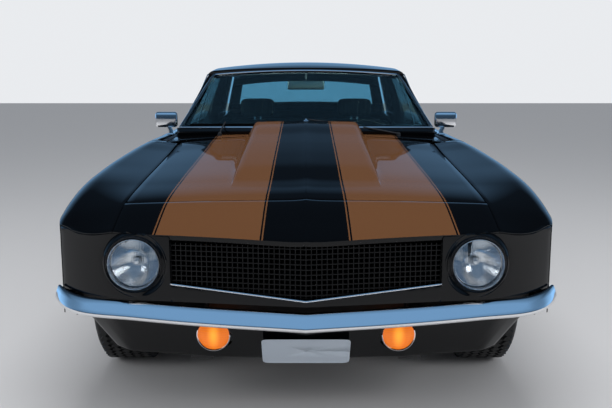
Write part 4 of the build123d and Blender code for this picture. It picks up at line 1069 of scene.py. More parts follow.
def lit_plastic(name, colour, glow, strength, bulb=None):
    """A coloured lens lit from behind, brighter at its ribs and in front of its bulb, where one is given."""
    material, shader, add = new_material(name)
    where = add("ShaderNodeTexCoord").outputs["Object"]
    ribs = add("ShaderNodeTexWave", {"Vector": where, "Scale": 38.0}, bands_direction="Z").outputs["Fac"]
    light = mixed(add, ribs, (*[c * 0.8 for c in glow], 1.0), (*glow, 1.0))

    def vector_maths(operation, *values):
        return add("ShaderNodeVectorMath", dict(enumerate(values)), operation=operation).outputs

    if bulb:
        bulb_x, bulb_z, reach, hot = bulb
        split = add("ShaderNodeSeparateXYZ", {"Vector": where}).outputs
        aside = add("ShaderNodeMath", {0: split["X"]}, operation="ABSOLUTE")
        point = add("ShaderNodeCombineXYZ", {"X": aside, "Z": split["Z"]})
        away = vector_maths("SUBTRACT", point, (bulb_x, 0.0, bulb_z))[0]
        distance = vector_maths("LENGTH", vector_maths("MULTIPLY", away, BULB_SHAPE)[0])["Value"]
        heat = graded(add, distance, (reach, 0.0), (0.0, 1.0), interpolation_type="SMOOTHSTEP")
        light = mixed(add, heat, light, (*hot, 1.0))
    bump = add("ShaderNodeBump", {"Height": ribs, "Strength": 0.3, "Distance": 0.001})
    fill_inputs(shader, {
        "Base Color": (*colour, 1.0), "Roughness": 0.12, "Emission Color": light,
        "Emission Strength": strength, "Normal": bump.outputs["Normal"],
    })
    return material


# The bulb's glow is a tall oval: its place, its reach and its colour, and how it is squeezed
BULB_SHAPE = (2.2, 0.0, 1.0)
BULB_GLOW = (TURN_X, TURN_Z, 0.062, (1.0, 0.38, 0.03))
amber = lit_plastic("amber_lens", (0.55, 0.13, 0.01), (0.62, 0.13, 0.006), 1.0, BULB_GLOW)
TURN_RIM = (
    (0.052, 0.161), (0.0525, 0.154), (0.055, 0.151), (0.058, 0.154), (0.0585, 0.168), (0.0585, 0.205),
    (0.052, 0.205),
)
for name, side in SIDES:
    centre = (side * TURN_X, NOSE_Y, TURN_Z)
    dome = dome_profile(TURN_RADIUS - 0.006, TURN_FRONT + 0.012, TURN_FRONT)
    dome += [(TURN_RADIUS - 0.006, 0.200), (0.0, 0.200)]
    lens = lathe(f"amber_lens_{name}", [dome], amber, "Y", centre)
    ring = lathe(f"turn_ring_{name}", [TURN_RIM], chrome, "Y", centre)
    for piece, slot in ((lens, "amber_lens"), (ring, "chrome")):
        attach(piece, "body")
        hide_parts("turn_lamps")


# Front plate.
# A blank stamped metal plate with a rolled rim, screwed to the valance, which leans back below.
PLATE_SIZE = (0.305, 0.152)
PLATE_TOP = (0.114, 0.354)
PLATE_LEAN = math.atan2(94, 120)
# Power of the curve that rounds the plate's corners
PLATE_SQUARENESS = 14
# Rings of the plate: share of its size, and how far they are raised
PLATE_RINGS = (
    (1.0, 0.0), (0.985, 0.0016), (0.965, 0.0018), (0.945, 0.0004), (0.90, 0.0002), (0.5, 0.0), (0.02, 0.0),
)


def plate_grid():
    """Rounded rectangle as rings that shrink to the middle, raised along the rim."""
    power = 2 / PLATE_SQUARENESS
    rings = []
    for share, rise in PLATE_RINGS:
        ring = []
        for turn in spread(0, 2 * math.pi, 96):
            x, y = math.cos(turn), math.sin(turn)
            x = math.copysign(abs(x) ** power, x) * PLATE_SIZE[0] / 2 * share
            y = math.copysign(abs(y) ** power, y) * PLATE_SIZE[1] / 2 * share
            down = PLATE_SIZE[1] / 2 - y
            station = PLATE_TOP[0] + down * math.sin(PLATE_LEAN) - rise * math.cos(PLATE_LEAN)
            height = PLATE_TOP[1] - down * math.cos(PLATE_LEAN) - rise * math.sin(PLATE_LEAN)
            ring.append(place(x, station, height))
        rings.append(ring)
    return rings


# White plate paint drawn blue-grey and darker: painted shade under a blue sky
plate_painted_blue_shade = enamel("plate_painted_blue_shade", (0.50, 0.56, 0.63), roughness=0.32, coat=0.0)
plate = sheet_piece("front_plate", [plate_grid()], plate_painted_blue_shade, 0.0016, 0.0, forwards)
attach(plate, "body")
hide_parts("licence_plate")


# Hood's inner panel.
# A pressed inner panel under the hood's skin, in black enamel, with stiffening ribs. The scoop
# opens at the rear between it and the skin.
RIB_STATIONS = (0.45, 0.80, 1.15, 1.48)
SIDE_RIB = 0.42
RIB_WIDTH = 0.03
RIB_DEPTH = 0.010
INNER_DROP = 0.020


def inner_hood_grid():
    rows = []
    half = HOOD_HALF - 0.016
    for station in spread(HOOD_FRONT + 0.012, HOOD_REAR - 0.020, 48):
        rib = max(math.exp(-((station - s) / RIB_WIDTH) ** 2) for s in RIB_STATIONS)
        line = []
        for width in spread(-half, half, 48):
            side_rib = math.exp(-((abs(width) - SIDE_RIB) / RIB_WIDTH) ** 2)
            height = hood_height(width, station) - INNER_DROP - RIB_DEPTH * max(rib, side_rib)
            line.append(place(width, station, height))
        rows.append(line)
    return rows


inner_hood = sheet_piece("hood_inner_panel", [inner_hood_grid()], black_enamel, 0.0015, 0.0, upwards)
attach(inner_hood, "hood")
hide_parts("hood")


# Cowl, wipers and washer.
# The panel between the hood and the windshield, with rows of air slots drawn as near-black blocks
# of painted shade. Two wipers lie along the foot of the glass, and the washer's jet stands in the
# middle of the hood's rear edge.
COWL_HALF = 0.722
COWL_REAR = 1.905
COWL_SLOT = (0.026, 0.006, 0.0016)
# The row of slots on each side: its station, the widths of its ends, and how many there are
SLOT_STATION = 1.634
SLOT_ENDS = (0.220, 0.560)
SLOT_COUNT = 12
WIPER_PIVOTS = ((0.490, 1.690), (-0.455, 1.680))
WIPER_TIPS = ((0.020, 0.10), (-0.600, 0.06))
WIPER_STUB = ((0.0, -0.004), (0.011, -0.004), (0.011, 0.014), (0.006, 0.019), (0.0, 0.019))
WIPER_BLADE = ((-0.002, -0.006), (0.002, -0.006), (0.004, 0.004), (-0.004, 0.004))
JET_STATION = 1.585
JET = ((0.0, 0.0), (0.012, 0.0), (0.011, 0.006), (0.005, 0.009), (0.0045, 0.014), (0.0, 0.015))


def cowl_height(width, station):
    seam = blended(SECTIONS, station)[1]
    return seam + 0.002 + 0.032 * (1 - (width / COWL_HALF) ** 2)


def cowl_grids():
    front = HOOD_REAR + PANEL_GAP
    main = [[place(x, s, cowl_height(x, s)) for x in spread(-COWL_HALF, COWL_HALF, 60)]
            for s in spread(front, COWL_REAR, 12)]
    widths = list(zip(spread(HOOD_HALF + 0.002, COWL_HALF, 4), spread(HOOD_HALF, COWL_HALF, 4)))
    ear = [[place(x, s, cowl_height(w, s)) for x, w in widths] for s in (1.558, 1.580, front)]
    left_ear, right_ear = both_sides([ear])
    return [main, right_ear, left_ear]


def in_row(add, given, thing):
    """Copies of a geometry along the row that a tree's inputs give."""
    line = add("GeometryNodeMeshLine", {
        "Count": given["Count"], "Start Location": given["Start"], "Offset": given["Step"],
    })
    return add("GeometryNodeInstanceOnPoints", {"Points": line, "Instance": thing})


def row_tree():
    """Copies of the given geometry in a row, with a count and a step."""
    tree, given, add = node_tree("row", Int=["Count"], Vector=["Start", "Step"])
    return finish_tree(tree, given, add, in_row(add, given, given["Geometry"]))


def rounded_box(name, low, high, material, bevel=0.004, segments=3):
    """A box between two corners with eased edges, kept as a plain mesh."""
    mesh = bmesh.new()
    bmesh.ops.create_cube(mesh, size=1.0)
    for vert in mesh.verts:
        vert.co = Vector([low[i] + (vert.co[i] + 0.5) * (high[i] - low[i]) for i in range(3)])
    bmesh.ops.bevel(mesh, geom=mesh.edges[:], offset=bevel, segments=segments, affect="EDGES", profile=0.5)
    return smooth_solid(name, mesh, material, 60)


def skinned(name, rings, material, smooth_angle, closed=False):
    """A closed solid over rings of points, with its ends filled unless it runs round."""
    mesh = bmesh.new()
    rings = [[mesh.verts.new(p) for p in ring] for ring in rings]
    for first, second in list(zip(rings, rings[1:])) + ([(rings[-1], rings[0])] if closed else []):
        for k in range(len(first)):
            j = (k + 1) % len(first)
            mesh.faces.new((first[k], first[j], second[j], second[k]))
    if not closed:
        mesh.faces.new(list(reversed(rings[0])))
        mesh.faces.new(rings[-1])
    bmesh.ops.recalc_face_normals(mesh, faces=mesh.faces)
    return smooth_solid(name, mesh, material, smooth_angle)


def swept(name, points, section, material, up=(0.0, 0.0, 1.0), closed=False):
    """A bar along a path: the section is a closed list of sideways and upward offsets."""
    points = [Vector(p) for p in points]
    rings = []
    for k, point in enumerate(points):
        before = points[k - 1] if k or closed else point
        after = points[(k + 1) % len(points)] if k + 1 < len(points) or closed else point
        ahead = (after - before).normalized()
        aside = ahead.cross(Vector(up)).normalized()
        above = aside.cross(ahead).normalized()
        rings.append([point + aside * a + above * b for a, b in section])
    return skinned(name, rings, material, 40, closed)


def circle_section(radius, steps=10):
    turns = [2 * math.pi * k / steps for k in range(steps)]
    return [(radius * math.cos(turn), radius * math.sin(turn)) for turn in turns]


def stood_up(piece, foot, turn=math.pi / 2):
    """Turns a piece that was made along Y about X and sets it on its foot."""
    piece.data.transform(Matrix.Translation(foot) @ Matrix.Rotation(turn, 4, "X"))
    return piece


def between(first, second, share):
    """The point at a share of the way from one point to another."""
    return [a + (b - a) * share for a, b in zip(first, second)]


def arc_point(end, middle, t):
    """A point of a bowed edge: t runs from -1 to 1 across the car, end is its left end."""
    deep = math.hypot(end[1] - middle[1], end[2] - middle[2])
    half_turn = 2 * math.atan(deep / end[0])
    share = (1 - math.cos(half_turn * t)) / (1 - math.cos(half_turn))
    width = end[0] * math.sin(half_turn * t) / math.sin(half_turn)
    return (width, middle[1] + (end[1] - middle[1]) * share, middle[2] + (end[2] - middle[2]) * share)


# Lower and upper edge of the windshield: its left end and its middle as widths, stations and heights
WINDSHIELD_BASE = ((0.705, 1.872, 0.948), (0.0, 1.652, 0.962))
WINDSHIELD_TOP = ((0.572, 2.412, 1.243), (0.0, 2.296, 1.268))


def pane_point(base, top, t, rise, lift=0.0):
    """A point on a bowed pane; lift raises it off the glass, upwards and away from the cabin."""
    low, high = arc_point(*base, t), arc_point(*top, t)
    x, s, z = between(low, high, rise)
    ahead = -1 if base[1][1] < top[1][1] else 1
    return place(x, s + ahead * lift * 0.45, z + lift * 0.9)


cowl = sheet_piece("cowl_skin", cowl_grids(), striped, 0.004, 0.0008, upwards)
riser_rows = [[], []]
for k in range(-40, 41):
    x, s, z = arc_point(*WINDSHIELD_BASE, k / 40)
    riser_rows[0].append(place(x * 1.01, s - 0.004, min(z - 0.004, cowl_height(x, s) - 0.004)))
    riser_rows[1].append(place(x * 1.01, s - 0.004, z + 0.004))
riser = sheet_piece("windshield_riser", [riser_rows], black_enamel, 0.003, 0.0, forwards)
slots = []
slot_row = row_tree()
for side in (-1, 1):
    low, high = ([end * c for c in COWL_SLOT] for end in (-0.5, 0.5))
    # Each slot is a thin near-black block on the cowl: painted shade in place of an opening
    slot_box = rounded_box("cowl_slot", low, high, shade_and_rubber_black, 0.0007, 1)
    ends = [(side * x, SLOT_STATION, cowl_height(x, SLOT_STATION) + 0.0002) for x in SLOT_ENDS]
    start, end = (Vector(place(*point)) for point in ends)
    slots.append(grown("cowl_slots", slot_row, {
        "Count": SLOT_COUNT, "Start": start, "Step": (end - start) / (SLOT_COUNT - 1),
        "Material": shade_and_rubber_black,
    }, slot_box))
cowl_slots = joined("cowl_slots", slots)
for piece in (cowl, riser, cowl_slots):
    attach(piece, "body")
    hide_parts("cowl_panel")

wipers = []
for (pivot_x, pivot_s), (tip_t, tip_rise) in zip(WIPER_PIVOTS, WIPER_TIPS):
    pivot = Vector(place(pivot_x, pivot_s, cowl_height(pivot_x, pivot_s)))
    stub = lathe("wiper_pivot", [WIPER_STUB], dark_steel, "Y", segments=20)
    tip = Vector(pane_point(WINDSHIELD_BASE, WINDSHIELD_TOP, tip_t, tip_rise, 0.016))
    knee = pivot.lerp(tip, 0.3) + Vector((0, -0.004, 0.014))
    arm = [pivot + Vector((0, 0, 0.013)), knee, pivot.lerp(tip, 0.65) + Vector((0, -0.004, 0.008)), tip]
    blade = [pane_point(WINDSHIELD_BASE, WINDSHIELD_TOP, t, tip_rise - 0.012, 0.007)
             for t in spread(tip_t - 0.30, tip_t + 0.30, 12)]
    wipers += [
        stood_up(stub, pivot), swept("wiper_arm", arm, circle_section(0.0042, 6), dark_steel),
        swept("wiper_blade", blade, WIPER_BLADE, shade_and_rubber_black),
    ]
wiper_set = joined("wipers", wipers)
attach(wiper_set, "body")

jet_foot = place(0.0, JET_STATION, hood_height(0.0, JET_STATION) + SCOOP_ROWS[-1][3] - 0.006)
jet = stood_up(lathe("washer_jet", [JET], chrome, "Y", segments=24), Vector(jet_foot))
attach(jet, "hood")


# Roof and its posts.
# One pressed roof panel, slim posts beside the windshield and broad panels beside the back
# window, all in black enamel, with bright drip rails and glass mouldings.
# Rows: station, half width of the crown, height there, height in the middle, half width and
# height of the rail
ROOF_ROWS = (
    (2.292, 0.548, 1.256, 1.282, 0.596, 1.228), (2.420, 0.556, 1.268, 1.299, 0.603, 1.238),
    (2.750, 0.562, 1.286, 1.322, 0.608, 1.244), (3.060, 0.552, 1.277, 1.316, 0.604, 1.238),
    (3.300, 0.530, 1.243, 1.280, 0.590, 1.212),
)
ROOF_SHEET = 0.020
BROW = circle_through((0.700, 2.454), (0.0, 2.290), (-0.700, 2.454))
FRONT_POST = (
    ((0.676, 1.846, 0.904), (0.722, 1.866, 0.904), (0.720, 1.925, 0.904), (0.676, 1.905, 0.904)),
    ((0.562, 2.400, 1.253), (0.600, 2.408, 1.242), (0.600, 2.474, 1.245), (0.560, 2.462, 1.256)),
)
REAR_POST = (
    ((0.668, 3.372, 0.938), (0.748, 3.372, 0.938), (0.735, 3.940, 0.938), (0.655, 3.920, 0.938)),
    ((0.552, 3.105, 1.262), (0.600, 3.105, 1.243), (0.586, 3.296, 1.222), (0.532, 3.296, 1.230)),
)
# Edges of the back window, given as those of the windshield are
BACKLIGHT_BASE = ((0.640, 3.900, 0.948), (0.0, 3.990, 0.962))
BACKLIGHT_TOP = ((0.525, 3.300, 1.222), (0.0, 3.262, 1.268))


def roof_point(share, station):
    """Width and height of the roof across its left half: 0 the middle, 1 the crown's edge, 2 the rail."""
    half, edge, middle, rail_x, rail_z = blended(ROOF_ROWS, station)
    if share <= 1:
        return half * share, middle + (edge - middle) * share * share
    t = share - 1
    via_x, via_z = half + 0.95 * (rail_x - half), edge - 0.12 * (edge - rail_z)
    x = (1 - t) ** 2 * half + 2 * t * (1 - t) * via_x + t * t * rail_x
    z = (1 - t) ** 2 * edge + 2 * t * (1 - t) * via_z + t * t * rail_z
    return x, z


def half_round(width, height, steps=6):
    """Section of a thin bright moulding: flat below, rounded above."""
    over = [(width / 2 * math.cos(turn), height * math.sin(turn)) for turn in spread(0, math.pi, steps)]
    return over + [(-width / 2, -0.001), (width / 2, -0.001)]


def roof_grid():
    shares = spread(0, 1, 24) + spread(1, 2, 10)[1:]
    columns = []
    for share in [-v for v in reversed(shares[1:])] + shares:
        start = 2.30
        for _ in range(8):
            width = roof_point(abs(share), max(start, ROOF_ROWS[0][0]))[0]
            start = BROW[1] - math.sqrt(BROW[2] ** 2 - width**2)
        line = []
        for station in spread(start, ROOF_ROWS[-1][0], 40):
            width, height = roof_point(abs(share), station)
            line.append(place(math.copysign(width, share), station, height))
        columns.append(line)
    return columns


def post_piece(name, ends, side, bulge):
    """A tapered post between two four-cornered ends, its outer face slightly bulged."""
    low, high = [[Vector(place(side * x, s, z)) for x, s, z in end] for end in ends]
    rings = []
    for t in spread(0, 1, 16):
        corners = [a.lerp(b, t) for a, b in zip(low, high)]
        swell = bulge * 4 * math.sin(math.pi * min(1.0, t + 0.15))
        ring = []
        for i in range(4):
            for u in spread(0, 1, 8)[:-1]:
                out = side * swell * u * (1 - u) if i == 1 else 0.0
                ring.append(corners[i].lerp(corners[(i + 1) % 4], u) + Vector((out, 0, 0)))
        rings.append(ring)
    piece = skinned(name, rings, black_enamel, 30)
    ease_edges(piece, 0.005, 3, 35)
    return piece


roof_skin = sheet_piece("roof_skin", [roof_grid()], black_enamel, ROOF_SHEET, 0.002, upwards)
roof_pieces = [roof_skin]
for name, side in SIDES:
    roof_pieces.append(post_piece(f"windshield_post_{name}", FRONT_POST, side, 0.0))
    roof_pieces.append(post_piece(f"rear_post_{name}", REAR_POST, side, 0.006))
for piece in roof_pieces:
    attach(piece, "body")
    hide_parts("roof")

trims = []
for side in (-1, 1):
    rail = []
    for station in spread(2.440, 3.270, 24):
        width, height = roof_point(2.0, station)
        rail.append(place(side * (width + 0.004), station, height + 0.003))
    for t in (0.25, 0.5, 0.75, 1.0):
        x, s, z = between(FRONT_POST[1][2], FRONT_POST[0][2], t)
        rail.insert(0, place(side * (x + 0.002), s, z))
    trims.append(swept("drip_rail", rail, half_round(0.009, 0.005), chrome, up=(side, 0.0, 0.6)))
for base, top, low, high, lean in (
    (WINDSHIELD_BASE, WINDSHIELD_TOP, 0.012, 0.985, -0.5), (BACKLIGHT_BASE, BACKLIGHT_TOP, 0.015, 0.975, 0.5),
):
    for rise in (low, high):
        edge = [pane_point(base, top, t, rise, 0.003) for t in spread(-0.99, 0.99, 60)]
        trims.append(swept("pane_trim", edge, half_round(0.014, 0.006), chrome, up=(0.0, lean, 0.8)))
    for side in (-1, 1):
        edge = [pane_point(base, top, side * 0.982, rise, 0.007) for rise in spread(low, high, 16)]
        section = half_round(0.018, 0.007)
        trims.append(swept("pane_side_trim", edge, section, chrome, up=(side * 0.4, lean, 0.7)))
bright_trim = joined("roof_and_glass_trim", trims)
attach(bright_trim, "body")


# Glass.
# Bowed laminated windshield and back window, and curved frameless side glass, all with a faint
# blue-green tint.
GLASS_THICK = 0.005
tinted = glass("tinted_glass", (0.56, 0.76, 0.74), gloss=0.25)
BELT_GLASS = (0.731, 0.896)
RAIL_GLASS = (0.598, 1.242)
GLASS_BULGE = 0.012
DOOR_PANE = ((1.938, 0.880), (2.752, 0.880), (2.752, 1.236), (2.478, 1.229))
QUARTER_PANE = ((2.766, 0.925), (3.352, 0.925), (3.112, 1.231), (2.766, 1.237))


def pane_grid(base, top):
    return [[pane_point(base, top, k / 32, j / 16) for j in range(17)] for k in range(-32, 33)]


def side_glass_width(height):
    """The curved side glass at a height: a chord with a bulge."""
    t = (height - BELT_GLASS[1]) / (RAIL_GLASS[1] - BELT_GLASS[1])
    return BELT_GLASS[0] + (RAIL_GLASS[0] - BELT_GLASS[0]) * t + GLASS_BULGE * 4 * max(0.0, t * (1 - t))


def side_pane_grid(outline, side):
    front_low, rear_low, rear_high, front_high = outline
    rows = []
    for u in spread(0, 1, 24):
        ends = between(front_low, rear_low, u), between(front_high, rear_high, u)
        points = [between(*ends, v) for v in spread(0, 1, 16)]
        rows.append([place(side * side_glass_width(z), s, z) for s, z in points])
    return rows


def sideways(point):
    return (math.copysign(1.0, point.x), 0.0, 0.2)


quarter_panes = [side_pane_grid(QUARTER_PANE, side) for side in (1, -1)]
panes = [
    ("windshield_pane", "windshield", "body", [pane_grid(WINDSHIELD_BASE, WINDSHIELD_TOP)], forwards),
    ("rear_window_pane", "rear_window", "body", [pane_grid(BACKLIGHT_BASE, BACKLIGHT_TOP)], upwards),
    ("quarter_panes", "quarter_windows", "body", quarter_panes, sideways),
]
for name, side in SIDES:
    grid = side_pane_grid(DOOR_PANE, side)
    panes.append((f"door_pane_{name}", f"door_glass_{name}", f"door_{name}", [grid], sideways))
for name, node, body, grids, outward in panes:
    pane = sheet_piece(name, grids, tinted, GLASS_THICK, 0.0, outward)
    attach(pane, body)
    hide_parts(node)


# Doors.
# A pressed skin over a trimmed inner side in black vinyl, with an armrest, a window crank and a
# handle, a bright strip along the window and a bright outside handle with its lock.
DOOR_FRONT = 1.564
DOOR_REAR = 2.757
DOOR_LOW = 0.268
DOOR_INNER = 0.796


def door_grid(side):
    top_rows, side_rows = 14, 22
    rows = []
    for row in range(top_rows + side_rows + 1):
        line = []
        for station in spread(DOOR_FRONT, DOOR_REAR, 40):
            width, height = side_point(station, top_rows + row, 2 * top_rows, side_rows, DOOR_LOW)
            line.append(place(side * width, station, height))
        rows.append(line)
    return rows


def door_card_section(station, side):
    """The trimmed inner side of a door: top pad, lean-in at the belt and a flat lower card."""
    _, _, shoulder_x, shoulder_z, side_x, side_z, _, _, sill_x, _ = blended(SECTIONS, station)
    corners = (
        (shoulder_x - 0.012, shoulder_z - 0.006), (side_x - 0.022, side_z - 0.010),
        (sill_x - 0.022, DOOR_LOW + 0.002), (DOOR_INNER, DOOR_LOW + 0.002), (DOOR_INNER + 0.002, 0.560),
        (DOOR_INNER - 0.010, 0.600), (DOOR_INNER - 0.006, 0.780), (0.745, 0.850),
        (0.712, shoulder_z - 0.012), (0.716, shoulder_z - 0.006),
    )
    return [place(side * x, station, z) for x, z in corners]


def side_box(name, side, low, high, material, bevel, segments):
    """A rounded box on one side of the car, between corners given as width, station and height."""
    xs = sorted((side * low[0], side * high[0]))
    return rounded_box(name, place(xs[0], *low[1:]), place(xs[1], *high[1:]), material, bevel, segments)


vinyl = plastic("black_vinyl", (0.009, 0.009, 0.010), 0.45, grain=0.25, grain_scale=700.0, gloss=0.25)
trim_black = plastic("black_trim", (0.008, 0.008, 0.009), 0.5, grain=0.15, grain_scale=900.0, gloss=0.25)
ARMREST = ((DOOR_INNER - 0.058, 2.02, 0.560), (DOOR_INNER + 0.004, 2.42, 0.610))
# Round bars on the inner side: radius, material, the way that counts as up, and points as depth
# into the cabin, station and height
UP, ACROSS = (0.0, 0.0, 1.0), (1.0, 0.0, 0.0)
DOOR_BARS = (
    ("crank_shaft", 0.009, chrome, UP, ((0.002, 1.93, 0.62), (0.030, 1.93, 0.62))),
    ("crank", 0.006, chrome, ACROSS, ((0.026, 1.93, 0.62), (0.034, 1.98, 0.56), (0.036, 2.01, 0.52))),
    ("crank_knob", 0.009, trim_black, UP, ((0.036, 2.01, 0.52), (0.062, 2.01, 0.52))),
    ("inner_handle", 0.007, chrome, UP, ((-0.004, 1.74, 0.66), (0.018, 1.76, 0.66), (0.018, 1.84, 0.66))),
)
# Stations of the outside handle and how far it stands off the skin there
OUTER_HANDLE = ((2.575, -0.004), (2.585, 0.020), (2.620, 0.026), (2.665, 0.024), (2.690, 0.016))
HANDLE_SECTION = (
    (-0.005, -0.012), (0.003, -0.012), (0.006, -0.006), (0.006, 0.006), (0.003, 0.012), (-0.005, 0.012),
)
HANDLE_HEIGHT = 0.800
# Round pieces behind the handle: height, how far each stands out, and radius
BUTTONS = (("handle_button", HANDLE_HEIGHT, 0.024, 0.013), ("door_lock", 0.745, 0.004, 0.011))
BUTTON_STATION = 2.700
for name, side in SIDES:
    body = f"door_{name}"
    skin = sheet_piece(f"door_skin_{name}", [door_grid(side)], black_enamel, 0.016, 0.002, sideways)
    rings = [door_card_section(s, side) for s in spread(DOOR_FRONT + 0.036, DOOR_REAR - 0.026, 16)]
    card = skinned(f"door_card_{name}", rings, vinyl, 30)

    def inside(depth, station, height):
        return place(side * (DOOR_INNER - depth), station, height)

    def outside(station, height, lift):
        return place(side * (side_width(station, height) + lift), station, height)

    fittings = [side_box("armrest", side, *ARMREST, vinyl, 0.018, 4)]
    for part, radius, material, up, points in DOOR_BARS:
        path = [inside(*point) for point in points]
        fittings.append(swept(part, path, circle_section(radius), material, up=up))
    belt = [(s, *top_of_side(s, 1.0)) for s in spread(1.93, 2.75, 16)]
    strip = [place(side * (width + 0.004), s, height + 0.001) for s, width, height in belt]
    fittings.append(swept("belt_strip", strip, half_round(0.010, 0.004), chrome))
    handle = [outside(s, HANDLE_HEIGHT, lift) for s, lift in OUTER_HANDLE]
    fittings.append(swept("outer_handle", handle, HANDLE_SECTION, chrome))
    for part, height, out, radius in BUTTONS:
        path = [outside(BUTTON_STATION, height, lift) for lift in (-0.003, out)]
        fittings.append(swept(part, path, circle_section(radius, 20), chrome))
    hardware = joined(f"door_fittings_{name}", fittings)
    for piece, slot in ((skin, "paint"), (card, "black_vinyl")):
        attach(piece, body)
        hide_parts(body)
    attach(hardware, body)


# Door mirrors.
# Chromed mirrors with a squared head on a short curved stalk at the front of each door.
MIRROR_HEAD = ((0.722, 1.930, 0.950), (0.846, 1.968, 1.036))
MIRROR_FACE = ((0.732, 1.964, 0.960), (0.836, 1.9686, 1.026))
STALK_BEND = ((0.762, 1.947, 0.930), (0.778, 1.949, 0.962))
STALK_SECTION = (
    (-0.013, -0.007), (0.0, -0.010), (0.013, -0.007), (0.013, 0.007), (0.0, 0.010), (-0.013, 0.007),
)
mirror_glass = metal("mirror_glass", (0.80, 0.83, 0.85), 0.03, wear=0.02)
for name, side in SIDES:
    head = side_box("mirror_head", side, *MIRROR_HEAD, chrome, 0.017, 5)
    face = side_box("mirror_face", side, *MIRROR_FACE, mirror_glass, 0.0018, 2)
    foot = top_of_side(1.946, 1.0)
    stem = [place(side * x, s, z) for x, s, z in ((foot[0] + 0.010, 1.946, foot[1] - 0.004), *STALK_BEND)]
    stalk = swept("mirror_stalk", stem, STALK_SECTION, chrome, up=(0.0, 1.0, 0.0))
    base_low = [a - b for a, b in zip(stem[0], (0.020, 0.030, 0.006))]
    base_high = [a + b for a, b in zip(stem[0], (0.020, 0.030, 0.008))]
    base = rounded_box("mirror_foot", base_low, base_high, chrome, 0.006, 3)
    mirror = joined(f"mirror_{name}", [head, face, stalk, base])
    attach(mirror, f"door_{name}")
    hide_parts(f"door_mirror_{name}")


# Rear quarter panels.
# Pressed sides of the tail, from the deck's seam over the shoulder to the sill, with the rear
# wheel opening. The rear edge turns in round the tail, and a trimmed wall faces the rear seat.
REAR_AXLE = 3.678
QUARTER_START = 2.763
TAIL_STATION = 4.650
QUARTER_LOW = 0.345
TAIL_TURN = 0.028
TAIL_TURN_DEPTH = 0.022
QUARTER_ROWS = (24, 16)


def quarter_point(station, row):
    """A point of the quarter's skin, drawn in where its rear edge turns round the tail."""
    turned = max(0.0, (station - TAIL_STATION + TAIL_TURN) / TAIL_TURN)
    inset = TAIL_TURN_DEPTH * (1 - math.sqrt(max(0.0, 1 - turned**2)))
    low = low_edge(station, REAR_AXLE, ARCH_CENTRE, QUARTER_LOW)
    width, height = side_point(station, row, *QUARTER_ROWS, low)
    over = min(1.0, max(0.0, 2 * row / QUARTER_ROWS[0] - 1))
    return width - inset * over, height - inset * (1 - over)


def quarter_grids():
    front = spread(QUARTER_START, REAR_AXLE - ARCH_RADIUS, 16)
    turn_start = TAIL_STATION - TAIL_TURN
    stations = front + arch_stations(REAR_AXLE)[1:]
    stations += spread(REAR_AXLE + ARCH_RADIUS, turn_start, 14)[1:]
    stations += [turn_start + TAIL_TURN * math.sin(math.pi / 2 * k / 6) for k in range(1, 7)]
    main = []
    for row in range(sum(QUARTER_ROWS) + 1):
        points = [quarter_point(s, row) for s in stations]
        main.append([place(width, s, height) for s, (width, height) in zip(stations, points)])
    return [main, sill_grid(front)]


quarters = sheet_piece("quarter_skin", both_sides(quarter_grids()), black_enamel)
walls = []
for side in (-1, 1):
    walls.append(side_box("wall", side, (0.643, 2.770, 0.268), (0.830, 3.266, 0.866), vinyl, 0.016, 3))
    walls.append(side_box("rest", side, (0.600, 2.900, 0.620), (0.650, 3.230, 0.680), vinyl, 0.020, 4))
rear_walls = joined("rear_side_trim", walls)
for piece, slot in ((quarters, "paint"), (rear_walls, "black_vinyl")):
    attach(piece, "body")
    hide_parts("quarter_panels")


# Trunk lid and rear deck.
# A crowned pressed lid between the quarters, the narrow panel under the back window, and the
# shelf and bulkhead behind the rear seat.
LID_START = 4.051
LID_END = 4.612
LID_HALF = 0.594
DECK_CROWN = 0.013
DECK_END = 4.045
DECK_HALF = 0.5995
SHELF_HALF = 0.598
TRUNK_LOCK = ((0.0, 4.664), (0.014, 4.664), (0.016, 4.661), (0.016, 4.6505), (0.0, 4.6505))


def deck_height(width, station, half=0.600):
    return blended(SECTIONS, station)[1] + DECK_CROWN * (1 - (width / half) ** 2)


def lid_grid():
    widths = spread(-LID_HALF, LID_HALF, 56)
    return [[place(x, s, deck_height(x, s)) for x in widths] for s in spread(LID_START, LID_END, 32)]


def deck_grid():
    """The strip from the foot of the back window to the lid's seam."""
    widths = spread(-DECK_HALF, DECK_HALF, 56)
    starts = [arc_point(*BACKLIGHT_BASE, x / BACKLIGHT_BASE[0][0])[1] + 0.004 for x in widths]
    rows = []
    for k in range(13):
        stations = [start + (DECK_END - start) * k / 12 for start in starts]
        rows.append([place(x, s, deck_height(x, s)) for x, s in zip(widths, stations)])
    return rows


lid = sheet_piece("trunk_lid_skin", [lid_grid()], black_enamel, 0.018, 0.003, upwards)
lock = lathe("trunk_lock", [TRUNK_LOCK], chrome, "Y", (0.0, NOSE_Y, 0.815), 28)
deck = sheet_piece("rear_deck_strip", [deck_grid()], black_enamel, 0.003, 0.0008, upwards)
low, high = place(-SHELF_HALF, 3.428, 0.878), place(SHELF_HALF, 3.900, 0.888)
shelf = rounded_box("rear_shelf", low, high, vinyl, 0.003, 2)
low, high = place(-SHELF_HALF, 3.4255, 0.519), place(SHELF_HALF, 3.4345, 0.877)
board = rounded_box("rear_bulkhead", low, high, trim_black, 0.002, 1)
for piece, body, node, slot in (
    (lid, "trunk_lid", "trunk_lid", "paint"), (deck, "body", "parcel_shelf", "paint"),
    (shelf, "body", "parcel_shelf", "black_vinyl"), (board, "body", "parcel_shelf", "black_vinyl"),
):
    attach(piece, body)
    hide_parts(node)
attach(lock, "body")


# Tail panel and rear lamps.
# A flat pressed panel across the tail with a lip behind the lid and a valance below. Three red
# ribbed lenses stand on each side, each in its own bright frame.
TAIL_LOW = 0.392
TAIL_INSET = 0.020
LIP_HALF = 0.600
